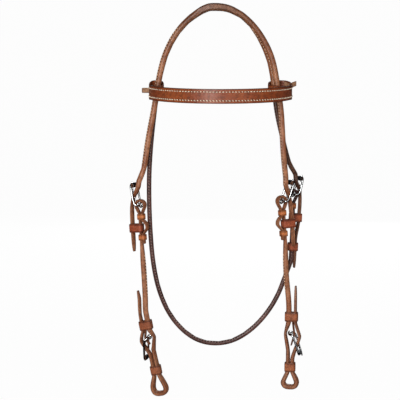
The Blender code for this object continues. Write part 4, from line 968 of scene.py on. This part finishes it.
STITCH_TREE, STITCH_INPUTS = stitch_tree()
print("stitch tree has", len(STITCH_TREE.nodes), "nodes and inputs", list(STITCH_INPUTS))

# %% [markdown]
# The tree needs a carrier: a bare path of points that also stores which way is out. Its result
# is kept as a plain mesh and the carrier thrown away. Each bead is set into the leather by a
# third of its thickness, as a stitch that was pulled tight. All rows that move with the same
# body are then joined to one piece.

# %% Rows of stitches
SUNK_SHARE = 0.33


def stitch_row(path, pitch, length, thickness, slant, seed, material):
    """A plain mesh of the stitches along one path of places and outward directions."""
    lift = thickness * (0.5 - SUNK_SHARE)
    mesh = bpy.data.meshes.new("path")
    mesh.from_pydata(
        [place + away * lift for place, away in path],
        [(i, i + 1) for i in range(len(path) - 1)],
        [],
    )
    outward = mesh.attributes.new("away", "FLOAT_VECTOR", "POINT")
    outward.data.foreach_set("vector", [c for _, away in path for c in away])
    holder = bpy.data.objects.new("path", mesh)
    bpy.context.collection.objects.link(holder)
    step = holder.modifiers.new("stitches", "NODES")
    step.node_group = STITCH_TREE
    values = dict(
        Pitch=pitch,
        Length=length,
        Thickness=thickness,
        Slant=slant,
        Seed=seed,
        Thread=material,
    )
    for label, value in values.items():
        step[STITCH_INPUTS[label]] = value
    finished = bpy.data.meshes.new_from_object(
        holder.evaluated_get(bpy.context.evaluated_depsgraph_get())
    )
    bpy.data.objects.remove(holder)
    bpy.data.meshes.remove(mesh)
    return finished


def joined(name, meshes, body_name):
    """One object for all the rows that move with a body."""
    whole = bmesh.new()
    materials = []
    for mesh in meshes:
        start = len(whole.faces)
        whole.from_mesh(mesh)
        whole.faces.ensure_lookup_table()
        for material in mesh.materials:
            if material not in materials:
                materials.append(material)
        for face in whole.faces[start:]:
            face.material_index = materials.index(mesh.materials[face.material_index])
        bpy.data.meshes.remove(mesh)
    data = bpy.data.meshes.new(name)
    whole.to_mesh(data)
    whole.free()
    for material in materials:
        data.materials.append(material)
    data.shade_smooth()
    piece = bpy.data.objects.new(name, data)
    bpy.context.collection.objects.link(piece)
    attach(piece, body_name)
    print(name, "has", len(data.polygons), "faces")


print("of each stitch,", SUNK_SHARE, "of its thickness lies below the surface")

# %% [markdown]
# The browband carries the stitches that one sees first: two cream rows, each a little inside
# the band's edge. The band bows out and sags, so the rows can't be drawn flat. A ring of rays
# looks at the band from outside, at the height of each row, and the hits are the path.

# %% Browband stitches
band = dressed["browband_face"]
band_surface = surface_of(band)
xs = [v.co.x for v in band.vertices]
BAND_MIDDLE, BAND_HALF = (max(xs) + min(xs)) / 2, (max(xs) - min(xs)) / 2
BAND_BOW = -min(v.co.y for v in band.vertices)
BAND_HEIGHT = 17.2 * MILLIMETRE
FRONT_SHARE = 0.9
front_low = min(v.co.z for v in band.vertices if v.co.y < -FRONT_SHARE * BAND_BOW)
FRONT_LEVEL = front_low + BAND_HEIGHT / 2
SIDE_LEVEL = -98.4 * MILLIMETRE
BAND_STEPS = 120
LOOK_FROM, LOOK_REACH = 10 * MILLIMETRE, 30 * MILLIMETRE
ROW_START, ROW_END = 4, 176
BAND_PITCH = 3.76 * MILLIMETRE
BAND_STITCH_LENGTH, BAND_STITCH_THICKNESS = 2.5 * MILLIMETRE, 1.2 * MILLIMETRE
# Each row as its height above the band's middle line, slant and seed
ROW_RISE = BAND_HEIGHT / 2 - STITCH_INSET
BAND_ROWS = ((ROW_RISE, 0.0, 3), (-ROW_RISE, math.radians(-28), 8))


def band_row(rise):
    """Places along the browband's outside at a height above its middle line."""
    path = []
    for i in range(BAND_STEPS + 1):
        angle = math.radians(ROW_START + (ROW_END - ROW_START) * i / BAND_STEPS)
        across, deep = math.cos(angle), math.sin(angle)
        height = SIDE_LEVEL + (FRONT_LEVEL - SIDE_LEVEL) * deep + rise
        outside = Vector((BAND_MIDDLE + BAND_HALF * across, -BAND_BOW * deep, height))
        out = Vector((across / BAND_HALF, -deep / BAND_BOW, 0)).normalized()
        start = outside + out * LOOK_FROM
        hit, normal, _, _ = band_surface.ray_cast(start, -out, LOOK_REACH)
        if hit is not None:
            path.append((hit, normal))
    return path


rows = [
    stitch_row(
        band_row(rise),
        BAND_PITCH,
        BAND_STITCH_LENGTH,
        BAND_STITCH_THICKNESS,
        slant,
        seed,
        CREAM_THREAD,
    )
    for rise, slant, seed in BAND_ROWS
]
joined("browband_stitches", rows, "browband")
print("browband bows out by", round(BAND_BOW / MILLIMETRE, 1), "mm")

# %% [markdown]
# The seams of the rolled straps are sewn with waxed thread close to the leather's colour.
# They show as a fine hatching along one side of each strap, and they make its outline
# slightly toothed where the seam comes to the edge of the view.

# %% Strap seams
SEAM_PITCH = 3.6 * MILLIMETRE
SEAM_STITCH_LENGTH, SEAM_STITCH_THICKNESS = 2.3 * MILLIMETRE, 1.15 * MILLIMETRE
SEAM_SLANT = math.radians(30)

for body_name, sewn_with in (("straps", TAN_THREAD), ("throatlatch", DARK_THREAD)):
    rows = [
        stitch_row(
            path,
            SEAM_PITCH,
            SEAM_STITCH_LENGTH,
            SEAM_STITCH_THICKNESS,
            SEAM_SLANT,
            seed,
            sewn_with,
        )
        for seed, (node_name, path) in enumerate(seam_paths)
        if BODY_OF_NODE[node_name] == body_name
    ]
    joined(f"{body_name}_seams", rows, body_name)
print("seams sewn at a pitch of", SEAM_PITCH / MILLIMETRE, "mm")
